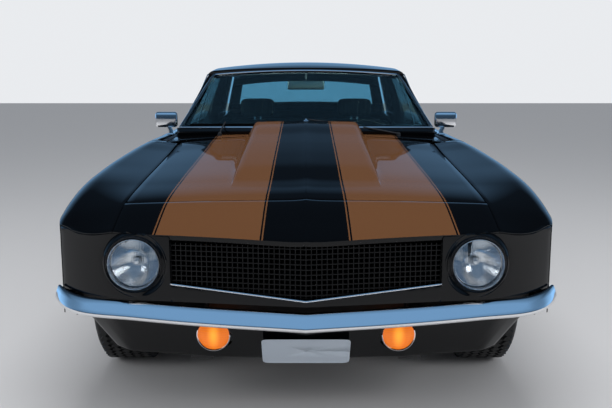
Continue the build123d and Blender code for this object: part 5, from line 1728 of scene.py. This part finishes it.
# Section of the lip behind the lid: height over the deck, and station
TAIL_LIP = (
    (-0.032, 4.6235), (-0.003, 4.6235), (0.0, 4.6265), (0.0, 4.6460), (-0.003, 4.6495), (-0.034, 4.6495),
)
LENS_WIDTHS = ((0.478, 0.590), (0.600, 0.712), (0.722, 0.834))
LENS_HEIGHTS = (0.628, 0.738)
LENS_BACK = 4.6505
LENS_FACE = 4.6605
LENS_CORNER = 0.006
LENS_BEND = 0.008
LENS_RIBS = 14
RIB_MARGIN = 0.011
RIB_THICK = 0.0016
# Height of the tail panel's outer upper corners
TAIL_SHOULDER = blended(SECTIONS, TAIL_STATION)[5] - 0.4 * TAIL_INSET


def tail_top(across):
    """Height of the tail panel's upper edge at a distance from the middle."""
    if across < LIP_HALF:
        return deck_height(across, TAIL_STATION) - 0.012
    for share in spread(0, 2, 40):
        x, z = top_of_side(TAIL_STATION, share)
        if x - TAIL_INSET * max(0.0, share - 1) > across:
            return z - TAIL_INSET
    return TAIL_SHOULDER


def tail_grid():
    edge_x = side_width(TAIL_STATION, TAIL_SHOULDER) - TAIL_INSET
    columns = []
    for u in spread(-1, 1, 80):
        top = tail_top(abs(u) * edge_x)
        line = []
        for v in spread(0, 1, 24):
            width = u * (side_width(TAIL_STATION, TAIL_LOW + (TAIL_SHOULDER - TAIL_LOW) * v) - TAIL_INSET)
            line.append(place(width, TAIL_STATION - 0.0035, TAIL_LOW + (top - TAIL_LOW) * v))
        columns.append(line)
    return columns


def tail_lip_grid():
    widths = spread(-DECK_HALF, DECK_HALF, 56)
    return [[place(x, station, deck_height(x, station) + lift) for x in widths] for lift, station in TAIL_LIP]


def rear_valance_grid():
    rows = []
    for v in spread(0, 1, 6):
        line = []
        for width in spread(-0.815, 0.815, 80):
            bend = max(0.0, abs(width) - 0.700) / 0.115
            station = 4.6475 - 0.048 * bend * bend - 0.004 * (1 - v)
            line.append(place(width, station, 0.303 + (TAIL_LOW + 0.004 - 0.303) * v))
        rows.append(line)
    return rows


tail_sheets = [
    sheet_piece("tail_face", [tail_grid()], black_enamel, 0.003, 0.0, backwards),
    sheet_piece("tail_lip", [tail_lip_grid()], black_enamel, 0.002, 0.0, away_from_middle),
    sheet_piece("rear_valance", [rear_valance_grid()], black_enamel, 0.003, 0.0, backwards),
]
low, high = place(-0.172, 4.626, 0.246), place(0.172, 4.6485, 0.304)
plate_pad = rounded_box("rear_plate_pad", low, high, trim_black, 0.006, 3)
for piece, slot in (*[(sheet, "paint") for sheet in tail_sheets], (plate_pad, "black_trim")):
    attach(piece, "body")
    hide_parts("tail_panel")


def flat_section(width, height):
    """Section of a flat bar, by its half width and half height."""
    return [(-width, -height), (width, -height), (width, height), (-width, height)]


def ribs_tree():
    """A row of upright ribs added in front of a lens, all of one material."""
    tree, given, add = node_tree("lens_ribs", Int=["Count"], Vector=["Start", "Step", "Rib"])
    rib = add("GeometryNodeMeshCube", {"Size": given["Rib"]})
    return finish_tree(tree, given, add, together(add, given["Geometry"], in_row(add, given, rib)))


red_lens = lit_plastic("red_lens", (0.30, 0.006, 0.008), (0.9, 0.02, 0.02), 0.04)
lens_ribs = ribs_tree()
lenses, frames = [], []
for side in (-1, 1):
    for low, high in LENS_WIDTHS:
        xs = sorted((side * (low + 0.003), side * (high - 0.003)))
        near = (xs[0], NOSE_Y + LENS_BACK, LENS_HEIGHTS[0] + 0.003)
        far = (xs[1], NOSE_Y + LENS_FACE, LENS_HEIGHTS[1] - 0.003)
        lens = rounded_box("lens", near, far, red_lens, 0.004, 3)
        lenses.append(grown("lens", lens_ribs, {
            "Count": LENS_RIBS, "Start": (xs[0] + 0.008, NOSE_Y + LENS_FACE, sum(LENS_HEIGHTS) / 2),
            "Step": ((high - low - 2 * RIB_MARGIN) / (LENS_RIBS - 1), 0.0, 0.0),
            "Rib": (RIB_THICK, RIB_THICK, LENS_HEIGHTS[1] - LENS_HEIGHTS[0] - 0.020), "Material": red_lens,
        }, lens))
        half_x, half_z = (far[0] - near[0]) / 2 - LENS_CORNER, (far[2] - near[2]) / 2 - LENS_CORNER
        corners = []
        for x, z, turn in ((1, 1, 0), (-1, 1, 90), (-1, -1, 180), (1, -1, 270)):
            centre_x, centre_z = sum(xs) / 2 + x * half_x, sum(LENS_HEIGHTS) / 2 + z * half_z
            for angle in spread(math.radians(turn), math.radians(turn + 90), 4):
                bend_x, bend_z = LENS_BEND * math.cos(angle), LENS_BEND * math.sin(angle)
                corners.append((centre_x + bend_x, NOSE_Y + 4.656, centre_z + bend_z))
        section = flat_section(0.0018, 0.0055)
        frames.append(swept("lens_frame", corners, section, chrome, up=(0.0, 1.0, 0.0), closed=True))
for name, parts, slot in (("tail_lenses", lenses, "red_lens"), ("tail_lamp_frames", frames, "chrome")):
    piece = joined(name, parts)
    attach(piece, "body")
    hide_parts("tail_lamps")


# Dashboard and column.
# A padded dashboard in black vinyl with two round dials in front of the driver, a row of small
# controls, a glove box on the right, and the steering column under the dials.
# Side view of the padded top, as stations and heights
DASH_PROFILE = (
    (1.702, 0.870), (1.958, 0.870), (1.982, 0.848), (1.982, 0.792), (1.948, 0.702), (1.898, 0.657),
    (1.702, 0.657),
)
DASH_HALF = 0.636
DIAL_RADIUS = 0.052
DIAL_MARKS = 24
MARKS_RADIUS = 0.043
MARK = (0.006, 0.0012, 0.001)
KNOB_HEIGHT = 0.820
DIALS = ((0.435, 0.812), (0.265, 0.812))
COLUMN_X = 0.350
COLUMN_FOOT = (1.5123, 0.542)
COLUMN_LENGTH = 0.655
COLUMN_TILT = math.radians(22.0)
COLUMN_WAY = Vector((0.0, math.cos(COLUMN_TILT), math.sin(COLUMN_TILT)))


def dash_pad():
    """The padded top as a solid of its side view, with eased edges."""
    mesh = bmesh.new()
    ends = [[mesh.verts.new(place(x, s, z)) for s, z in DASH_PROFILE] for x in (-DASH_HALF, DASH_HALF)]
    for k in range(len(DASH_PROFILE)):
        j = (k + 1) % len(DASH_PROFILE)
        mesh.faces.new((ends[0][k], ends[0][j], ends[1][j], ends[1][k]))
    mesh.faces.new(ends[0])
    mesh.faces.new(list(reversed(ends[1])))
    bmesh.ops.recalc_face_normals(mesh, faces=mesh.faces)
    bmesh.ops.bevel(mesh, geom=mesh.edges[:], offset=0.012, segments=4, affect="EDGES", profile=0.5)
    return smooth_solid("dash_pad", mesh, vinyl, 50)


dial_face = plastic("dial_face", (0.015, 0.015, 0.016), 0.35)
dial_mark = plastic("dial_mark", (0.75, 0.75, 0.72), 0.5)


def in_circle(add, given, size, axis):
    """Copies of a block round a circle that a tree's inputs give, one axis of each turned outwards."""
    circle = add("GeometryNodeMeshCircle", {"Vertices": given["Count"], "Radius": given["Radius"]})
    block = add("GeometryNodeMeshCube", {"Size": given[size]})
    here = add("GeometryNodeInputPosition")
    turn = add("FunctionNodeAlignEulerToVector", {"Vector": here}, axis=axis)
    return add("GeometryNodeInstanceOnPoints", {
        "Points": circle, "Instance": block, "Rotation": turn,
    })


def marks_tree():
    """Dial marks round a circle in the plane across the car's length."""
    tree, given, add = node_tree("dial_marks", Int=["Count"], Float=["Radius"], Vector=["Centre", "Mark"])
    set_up = add("GeometryNodeTransform", {
        "Geometry": in_circle(add, given, "Mark", "X"), "Translation": given["Centre"],
        "Rotation": (math.radians(90), 0.0, 0.0),
    })
    return finish_tree(tree, given, add, set_up)


# Dials and knobs: closed outlines as radius and station
DIAL_RIM = (
    (DIAL_RADIUS, 1.978), (DIAL_RADIUS + 0.006, 1.978), (DIAL_RADIUS + 0.006, 1.996),
    (DIAL_RADIUS + 0.003, 1.999), (DIAL_RADIUS, 1.996),
)
DIAL_PLATE = ((0.0, 1.980), (DIAL_RADIUS, 1.980), (DIAL_RADIUS, 1.984), (0.0, 1.984))
KNOB = ((0.0, 1.994), (0.010, 1.994), (0.012, 1.990), (0.012, 1.976), (0.0, 1.976))
low, high = place(-0.328, 1.515, 0.642), place(0.298, 1.704, 0.818)
heater = rounded_box("heater", low, high, trim_black, 0.012, 3)
dash_pieces = [dash_pad(), heater]
dial_marks = marks_tree()
dials = []
for x, z in DIALS:
    dials.append(lathe("dial_rim", [DIAL_RIM], chrome, "Y", (x, NOSE_Y, z), 48))
    dials.append(lathe("dial_face", [DIAL_PLATE], dial_face, "Y", (x, NOSE_Y, z), 48))
    dials.append(grown("dial_marks", dial_marks, {
        "Count": DIAL_MARKS, "Radius": MARKS_RADIUS, "Centre": place(x, 1.985, z), "Mark": MARK,
        "Material": dial_mark,
    }))
    # The needles take the lit amber lens material and so glow: a painted glow, since they hold no lamp
    needle = [place(x, 1.987, z), place(x - 0.026, 1.987, z - 0.024)]
    dials.append(swept("needle", needle, circle_section(0.0012, 6), amber))
for k in range(5):
    dials.append(lathe("knob", [KNOB], chrome, "Y", (0.05 - 0.075 * k, NOSE_Y, KNOB_HEIGHT), 20))
low, high = place(-0.600, 1.978, 0.794), place(-0.330, 1.9855, 0.846)
dials.append(rounded_box("glove_box", low, high, trim_black, 0.004, 3))
foot = Vector(place(COLUMN_X, *COLUMN_FOOT))
tube = [foot + COLUMN_WAY * length for length in (0.016, COLUMN_LENGTH - 0.001)]
column = swept("column", tube, circle_section(0.0228, 28), trim_black)
lever = foot + COLUMN_WAY * (COLUMN_LENGTH - 0.060)
lever_path = [lever + Vector((0.018, 0, 0)), lever + Vector((0.120, 0.012, 0.020))]
stalk = swept("turn_lever", lever_path, circle_section(0.004), chrome)
dash_body = joined("dashboard_pad", dash_pieces)
dash_bright = joined("dashboard_dials", dials)
column_set = joined("steering_column", [column, stalk])
for piece, slot in ((dash_body, "black_vinyl"), (dash_bright, "chrome"), (column_set, "black_trim")):
    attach(piece, "body")
    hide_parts("dashboard")


# Steering wheel.
# A moulded rim on three slotted bright spokes, with a padded boss.
RIM_RADIUS = 0.188
RIM_THICK = 0.0128
SPOKE_TURNS = (0.0, 180.0, 90.0)
# A spoke as radius and lift, and the boss's closed outline as radius and height
SPOKE = ((0.026, 0.004), (0.070, 0.003), (0.130, 0.000), (RIM_RADIUS - 0.004, -0.001))
BOSS = (
    (0.0, 0.0), (0.030, 0.0), (0.033, 0.010), (0.034, 0.026), (0.030, 0.036), (0.018, 0.0395), (0.0, 0.040),
)
hub = foot + COLUMN_WAY * (COLUMN_LENGTH + 0.0003)
middle = hub + COLUMN_WAY * 0.032
across = Vector((1.0, 0.0, 0.0))
down = COLUMN_WAY.cross(across)


def on_wheel(radius, degrees, lift=0.0):
    """A point on the steering wheel, by its radius, its turn from the car's left, and its lift."""
    angle = math.radians(degrees)
    return middle + across * radius * math.cos(angle) + down * radius * math.sin(angle) + COLUMN_WAY * lift


rim_path = [on_wheel(RIM_RADIUS, 360 * k / 96) for k in range(96)]
section = circle_section(RIM_THICK, 16)
wheel_pieces = [swept("wheel_rim", rim_path, section, trim_black, up=COLUMN_WAY, closed=True)]
for degrees in SPOKE_TURNS:
    for spread_way in (-1, 1):
        spoke = [on_wheel(r, degrees, lift) for r, lift in SPOKE]
        aside = COLUMN_WAY.cross((spoke[-1] - spoke[0]).normalized()) * 0.0075 * spread_way
        path = [p + aside for p in spoke]
        wheel_pieces.append(swept("spoke", path, flat_section(0.005, 0.0015), chrome, up=COLUMN_WAY))
boss = lathe("boss", [BOSS], trim_black, "Y", segments=40)
wheel_pieces.append(stood_up(boss, hub, COLUMN_TILT))
steering = joined("steering_wheel_dressed", wheel_pieces)
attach(steering, "steering_wheel")
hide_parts("steering_wheel")


# Seats.
# Foam cushions in black vinyl, pleated lengthwise in the middle and piped along their edges, on
# low steel frames. Two bucket seats with head restraints stand in front of a bench.
# Side views: lower front, lower rear, upper rear, upper front as stations and heights
BUCKET_CUSHION = ((2.240, 0.320), (2.760, 0.300), (2.760, 0.430), (2.240, 0.470))
BUCKET_BACK = ((2.700, 0.330), (2.800, 0.330), (2.925, 0.930), (2.845, 0.940))
HEAD_REST = ((2.862, 0.960), (2.928, 0.955), (2.940, 1.075), (2.882, 1.082))
BENCH_CUSHION = ((2.962, 0.518), (3.390, 0.518), (3.390, 0.600), (2.962, 0.625))
BENCH_BACK = ((3.290, 0.560), (3.424, 0.560), (3.424, 0.874), (3.368, 0.874))
BUCKET_WIDTHS = (0.136, 0.579)
REST_WIDTHS = (0.216, 0.444)
BENCH_HALF = 0.559
SEAT_BASE = ((0.172, 2.302, 0.2175), (0.543, 2.698, 0.328))
PLEAT_DEPTH = 0.006
PLEAT_WIDTH = 0.006


def cushion(name, view, widths, pleats, pleated_face, steps=(44, 36, 14), square=9.0):
    """A stuffed piece between four corners of its side view: soft edges, a full middle and pleats."""
    mesh = bmesh.new()
    made = {}

    def vert(i, j, k):
        if (i, j, k) in made:
            return made[i, j, k]
        a, b, c = (2 * n / m - 1 for n, m in zip((i, j, k), steps))
        size = (abs(a) ** square + abs(b) ** square + abs(c) ** square) ** (1 / square)
        pull = max(abs(a), abs(b), abs(c)) / size
        a, b, c = a * pull, b * pull, c * pull
        x = widths[0] + (widths[1] - widths[0]) * (a + 1) / 2
        u, v = (b + 1) / 2, (c + 1) / 2
        station, height = between(between(view[0], view[1], u), between(view[3], view[2], u), v)
        along, face, out = (b, c, 1) if pleated_face == "top" else (c, -b, -1)
        sunk = 0.0
        if face > 0.8:
            inside = max(0.0, min(1.0, (0.80 - abs(along)) / 0.10))
            inside *= max(0.0, min(1.0, (0.74 - abs(a)) / 0.02))
            for n in range(pleats + 1):
                middle_x = widths[0] + (widths[1] - widths[0]) * (0.5 + 0.36 * (2 * n / pleats - 1))
                sunk += PLEAT_DEPTH * inside * math.exp(-((x - middle_x) / PLEAT_WIDTH) ** 2)
            border = math.exp(-((abs(along) - 0.82) / 0.03) ** 2) * (1 if abs(a) < 0.76 else 0)
            sunk += 0.7 * PLEAT_DEPTH * border
        if pleated_face == "top":
            height -= sunk
        else:
            station += sunk
        made[i, j, k] = mesh.verts.new(place(x, station, height))
        return made[i, j, k]

    sides = ((0, 1, 2), (1, 2, 0), (2, 0, 1))
    for first, second, fixed in sides:
        for end in (0, steps[fixed]):
            for m in range(steps[first]):
                for n in range(steps[second]):
                    corners = []
                    for dm, dn in ((0, 0), (1, 0), (1, 1), (0, 1)):
                        index = [0, 0, 0]
                        index[first], index[second], index[fixed] = m + dm, n + dn, end
                        corners.append(vert(*index))
                    mesh.faces.new(corners)
    bmesh.ops.recalc_face_normals(mesh, faces=mesh.faces)
    return smooth_solid(name, mesh, vinyl, 80)


def piping(view, widths, rise, inset=0.012):
    """A closed cord of trim round a cushion, at one share of its height."""
    ends = [between(low, high, rise) for low, high in ((view[0], view[3]), (view[1], view[2]))]
    points = []
    corners = ((widths[0], 0), (widths[1], 0), (widths[1], 1), (widths[0], 1))
    for n, (x, end) in enumerate(corners):
        next_x, next_end = corners[(n + 1) % 4]
        for k in range(12):
            t = 0.06 + 0.88 * k / 11
            here_x, there = x + (next_x - x) * t, end + (next_end - end) * t
            points.append(place(here_x, *between(*ends, there)))
    centre = Vector(points[0]).lerp(Vector(points[24]), 0.5)
    points = [Vector(p) + (centre - Vector(p)).normalized() * inset * 0.25 for p in points]
    return swept("piping", points, circle_section(0.0035, 6), trim_black, closed=True)


bucket_frames, bucket_cords = [], []
for name, side in SIDES:
    widths = tuple(sorted((side * BUCKET_WIDTHS[0], side * BUCKET_WIDTHS[1])))
    rest_widths = tuple(sorted((side * REST_WIDTHS[0], side * REST_WIDTHS[1])))
    soft = [
        cushion(f"seat_cushion_{name}", BUCKET_CUSHION, widths, 7, "top"),
        cushion(f"seat_back_{name}", BUCKET_BACK, widths, 7, "front", (44, 14, 40)),
        cushion(f"head_restraint_{name}", HEAD_REST, rest_widths, 3, "front", (28, 12, 20), 5.0),
    ]
    for piece in soft:
        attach(piece, "body")
        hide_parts("front_seats")
    bucket_frames.append(side_box("seat_base", side, *SEAT_BASE, dark_steel, 0.008, 2))
    for x in (0.310, 0.350):
        stem = [place(side * x, 2.892, 0.915), place(side * x, 2.898, 0.985)]
        bucket_frames.append(swept("rest_stem", stem, circle_section(0.006), chrome))
    bucket_cords.append(piping(BUCKET_CUSHION, widths, 0.96))
bucket_metal = joined("seat_frames", bucket_frames)
bucket_trim = joined("seat_piping", bucket_cords)
bench = [
    cushion("rear_cushion", BENCH_CUSHION, (-BENCH_HALF, BENCH_HALF), 18, "top", (120, 28, 10)),
    cushion("rear_back", BENCH_BACK, (-BENCH_HALF, BENCH_HALF), 18, "front", (120, 10, 30)),
]
for piece in bench:
    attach(piece, "body")
    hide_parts("rear_seat")
for piece, slot in ((bucket_metal, "underbody"), (bucket_trim, "black_trim")):
    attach(piece, "body")


# Cabin mirror and headliner.
# A day mirror on a short stalk behind the top of the windshield, and a lining under the roof that is pale in
# the car but drawn in black vinyl: painted shade.
# The case's pale green-grey tint is a painted reflection of a bright sky, over satin metal
mirror_back_painted_sheen = metal("mirror_back_painted_sheen", (0.72, 0.78, 0.76), 0.35)
low, high = place(-0.111, 2.3365, 1.149), place(0.111, 2.3500, 1.203)
mirror_case = rounded_box("mirror_case", low, high, mirror_back_painted_sheen, 0.006, 3)
stalk_path = [place(0, 2.338, 1.196), place(0, 2.338, 1.225), place(0, 2.334, 1.250)]
mirror_stalk = swept("mirror_stalk", stalk_path, circle_section(0.006), chrome)
inner_mirror = joined("cabin_mirror_dressed", [mirror_case, mirror_stalk])
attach(inner_mirror, "body")
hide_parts("cabin_mirror")


def downwards(point):
    return (0.0, 0.0, -1.0)


# The dark trim round the back window: where it starts across the glass and over its rise
LINER_SIDE = 0.86
LINER_RISE = (0.25, 0.80)
LINER_DEPTH = -0.014


def liner_grids():
    def grid(across, rises):
        edges = BACKLIGHT_BASE, BACKLIGHT_TOP
        return [[pane_point(*edges, t, rise, LINER_DEPTH) for rise in rises] for t in across]

    full = spread(-0.98, 0.98, 48)
    low, high = LINER_RISE
    grids = [grid(full, (0.0, low / 2, low)), grid(full, spread(high, 0.97, 4))]
    for side in (-1, 1):
        grids.append(grid([side * t for t in spread(LINER_SIDE, 0.98, 4)], spread(low, high, 12)))
    return grids


liner = sheet_piece("back_window_trim", liner_grids(), vinyl, 0.003, 0.0, downwards)
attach(liner, "body")

LINING_DROP = 0.0235
lining_rows = []
for station in spread(2.500, 3.270, 24):
    across = [(share, *roof_point(abs(share), station)) for share in spread(-1, 1, 24)]
    lining_rows.append([place(math.copysign(x, share), station, z - LINING_DROP) for share, x, z in across])
# The lining takes the black vinyl: painted shade over a pale lining
lining = sheet_piece("headliner", [lining_rows], vinyl, 0.002, 0.0, downwards)
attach(lining, "body")
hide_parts("roof")


# Wheels and tyres.
# Slotted steel wheels with a bright trim ring and centre cap, and bias-ply style tyres with a
# ribbed wall and moulded tread blocks.
TRACKS = ((0.757, FRONT_AXLE, "front"), (0.7555, REAR_AXLE, "rear"))
AXLE_Z = 0.331
TREAD_BASE = 0.3225
TREAD_TOP = 0.3305
TREAD_ROWS = (-0.074, -0.037, 0.0, 0.037, 0.074)
TREAD_BLOCKS = 66
BLOCK = (0.030, 0.0245, 0.009)
# Radius and offset of one wall of the tyre, from the bead to the tread
WALL = (
    (0.1885, 0.0855), (0.196, 0.0892), (0.203, 0.0945), (0.213, 0.101), (0.225, 0.1075), (0.233, 0.1108),
    (0.2345, 0.1122), (0.2375, 0.1124), (0.239, 0.1128), (0.25, 0.1158), (0.262, 0.116), (0.28, 0.114),
    (0.288, 0.1128), (0.289, 0.1138), (0.293, 0.1134), (0.294, 0.1118), (0.305, 0.1085), (0.314, 0.103),
    (0.32, 0.097), (TREAD_BASE, 0.09),
)
# Closed outlines of the bright trim ring and the centre cap, as radius and offset
WHEEL_TRIMS = (
    ((0.1958, 0.0984), (0.1958, 0.096), (0.1795, 0.09), (0.1655, 0.053), (0.164, 0.054), (0.1775, 0.0915),
     (0.188, 0.0984)),
    ((0.0, 0.0585), (0.02, 0.058), (0.032, 0.0545), (0.037, 0.049), (0.0395, 0.04), (0.045, 0.018),
     (0.0448, 0.016), (0.0, 0.047)),
)


def tread_tree():
    """Blocks round a tyre in one row: made about X and moved to the wheel's centre."""
    tree, given, add = node_tree(
        "tread_row", Int=["Count"], Float=["Radius", "Turn"], Vector=["Centre", "Block"])
    spun = add("GeometryNodeTransform", {
        "Geometry": in_circle(add, given, "Block", "Z"),
        "Rotation": add("ShaderNodeCombineXYZ", {"Z": given["Turn"]}),
    })
    placed = add("GeometryNodeTransform", {
        "Geometry": spun, "Rotation": (0.0, math.radians(90), 0.0), "Translation": given["Centre"],
    })
    return finish_tree(tree, given, add, placed)


rubber = plastic("rubber", (0.011, 0.011, 0.011), 0.62, grain=0.3, grain_scale=500.0)
tread_rows = tread_tree()
for half_track, axle, end in TRACKS:
    for name, side in SIDES:
        centre = (side * half_track, NOSE_Y + axle, AXLE_Z)
        profile = [*WALL, *[(r, -along) for r, along in reversed(WALL)]]
        parts = [lathe("tyre_body", [profile], rubber, "X", centre, 128, 30)]
        for n, offset in enumerate(TREAD_ROWS):
            parts.append(grown("tread", tread_rows, {
                "Count": TREAD_BLOCKS, "Radius": TREAD_TOP - BLOCK[2] / 2, "Block": BLOCK,
                "Centre": (centre[0] + offset, centre[1], centre[2]),
                "Turn": math.pi / TREAD_BLOCKS * (n % 2), "Material": rubber,
            }))
        tyre = joined(f"tyre_{end}_{name}_dressed", parts)
        outlines = [[(r, side * along) for r, along in outline] for outline in WHEEL_TRIMS]
        bright = lathe(f"wheel_trim_{end}_{name}", outlines, chrome, "X", centre, 96)
        body = f"wheel_{end}_{name}"
        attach(tyre, body)
        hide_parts(f"tyre_{end}_{name}")
        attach(bright, body)


# Underbody, engine and wheels' steel.
# Plain painted or bare steel and cast iron, kept as packed and given finishes with dust and wear.
cast_iron = metal("cast_iron", (0.10, 0.10, 0.105), 0.62, wear=0.25, scale=18.0, metallic=0.6)
chassis_paint = metal("chassis_paint", (0.018, 0.018, 0.019), 0.55, wear=0.3, scale=9.0, metallic=0.0)
exhaust_steel = metal("exhaust_steel", (0.28, 0.27, 0.26), 0.42, wear=0.25, scale=12.0, metallic=0.9)
wheel_steel = metal("wheel_steel", (0.23, 0.235, 0.245), 0.34, wear=0.12, scale=20.0, metallic=0.85)
carpet = plastic("carpet", (0.012, 0.012, 0.012), 0.95, grain=0.8, grain_scale=900.0)
KEPT = (
    (cast_iron, ("engine_block", "knuckle_left", "knuckle_right")),
    (chassis_paint, ("front_subframe", "rear_axle", "driveline", "fuel_tank", "radiator", "inner_fenders",
                     "rear_wheelhouses", "firewall", "rear_floor")),
    (exhaust_steel, ("exhaust",)),
    (carpet, ("floor_pan",)),
    (black_enamel, ("rockers",)),
    (wheel_steel, ("wheel_front_left", "wheel_front_right", "wheel_rear_left", "wheel_rear_right")),
)
for material, names in KEPT:
    for name in names:
        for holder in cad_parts[name].material_slots:
            holder.material = material
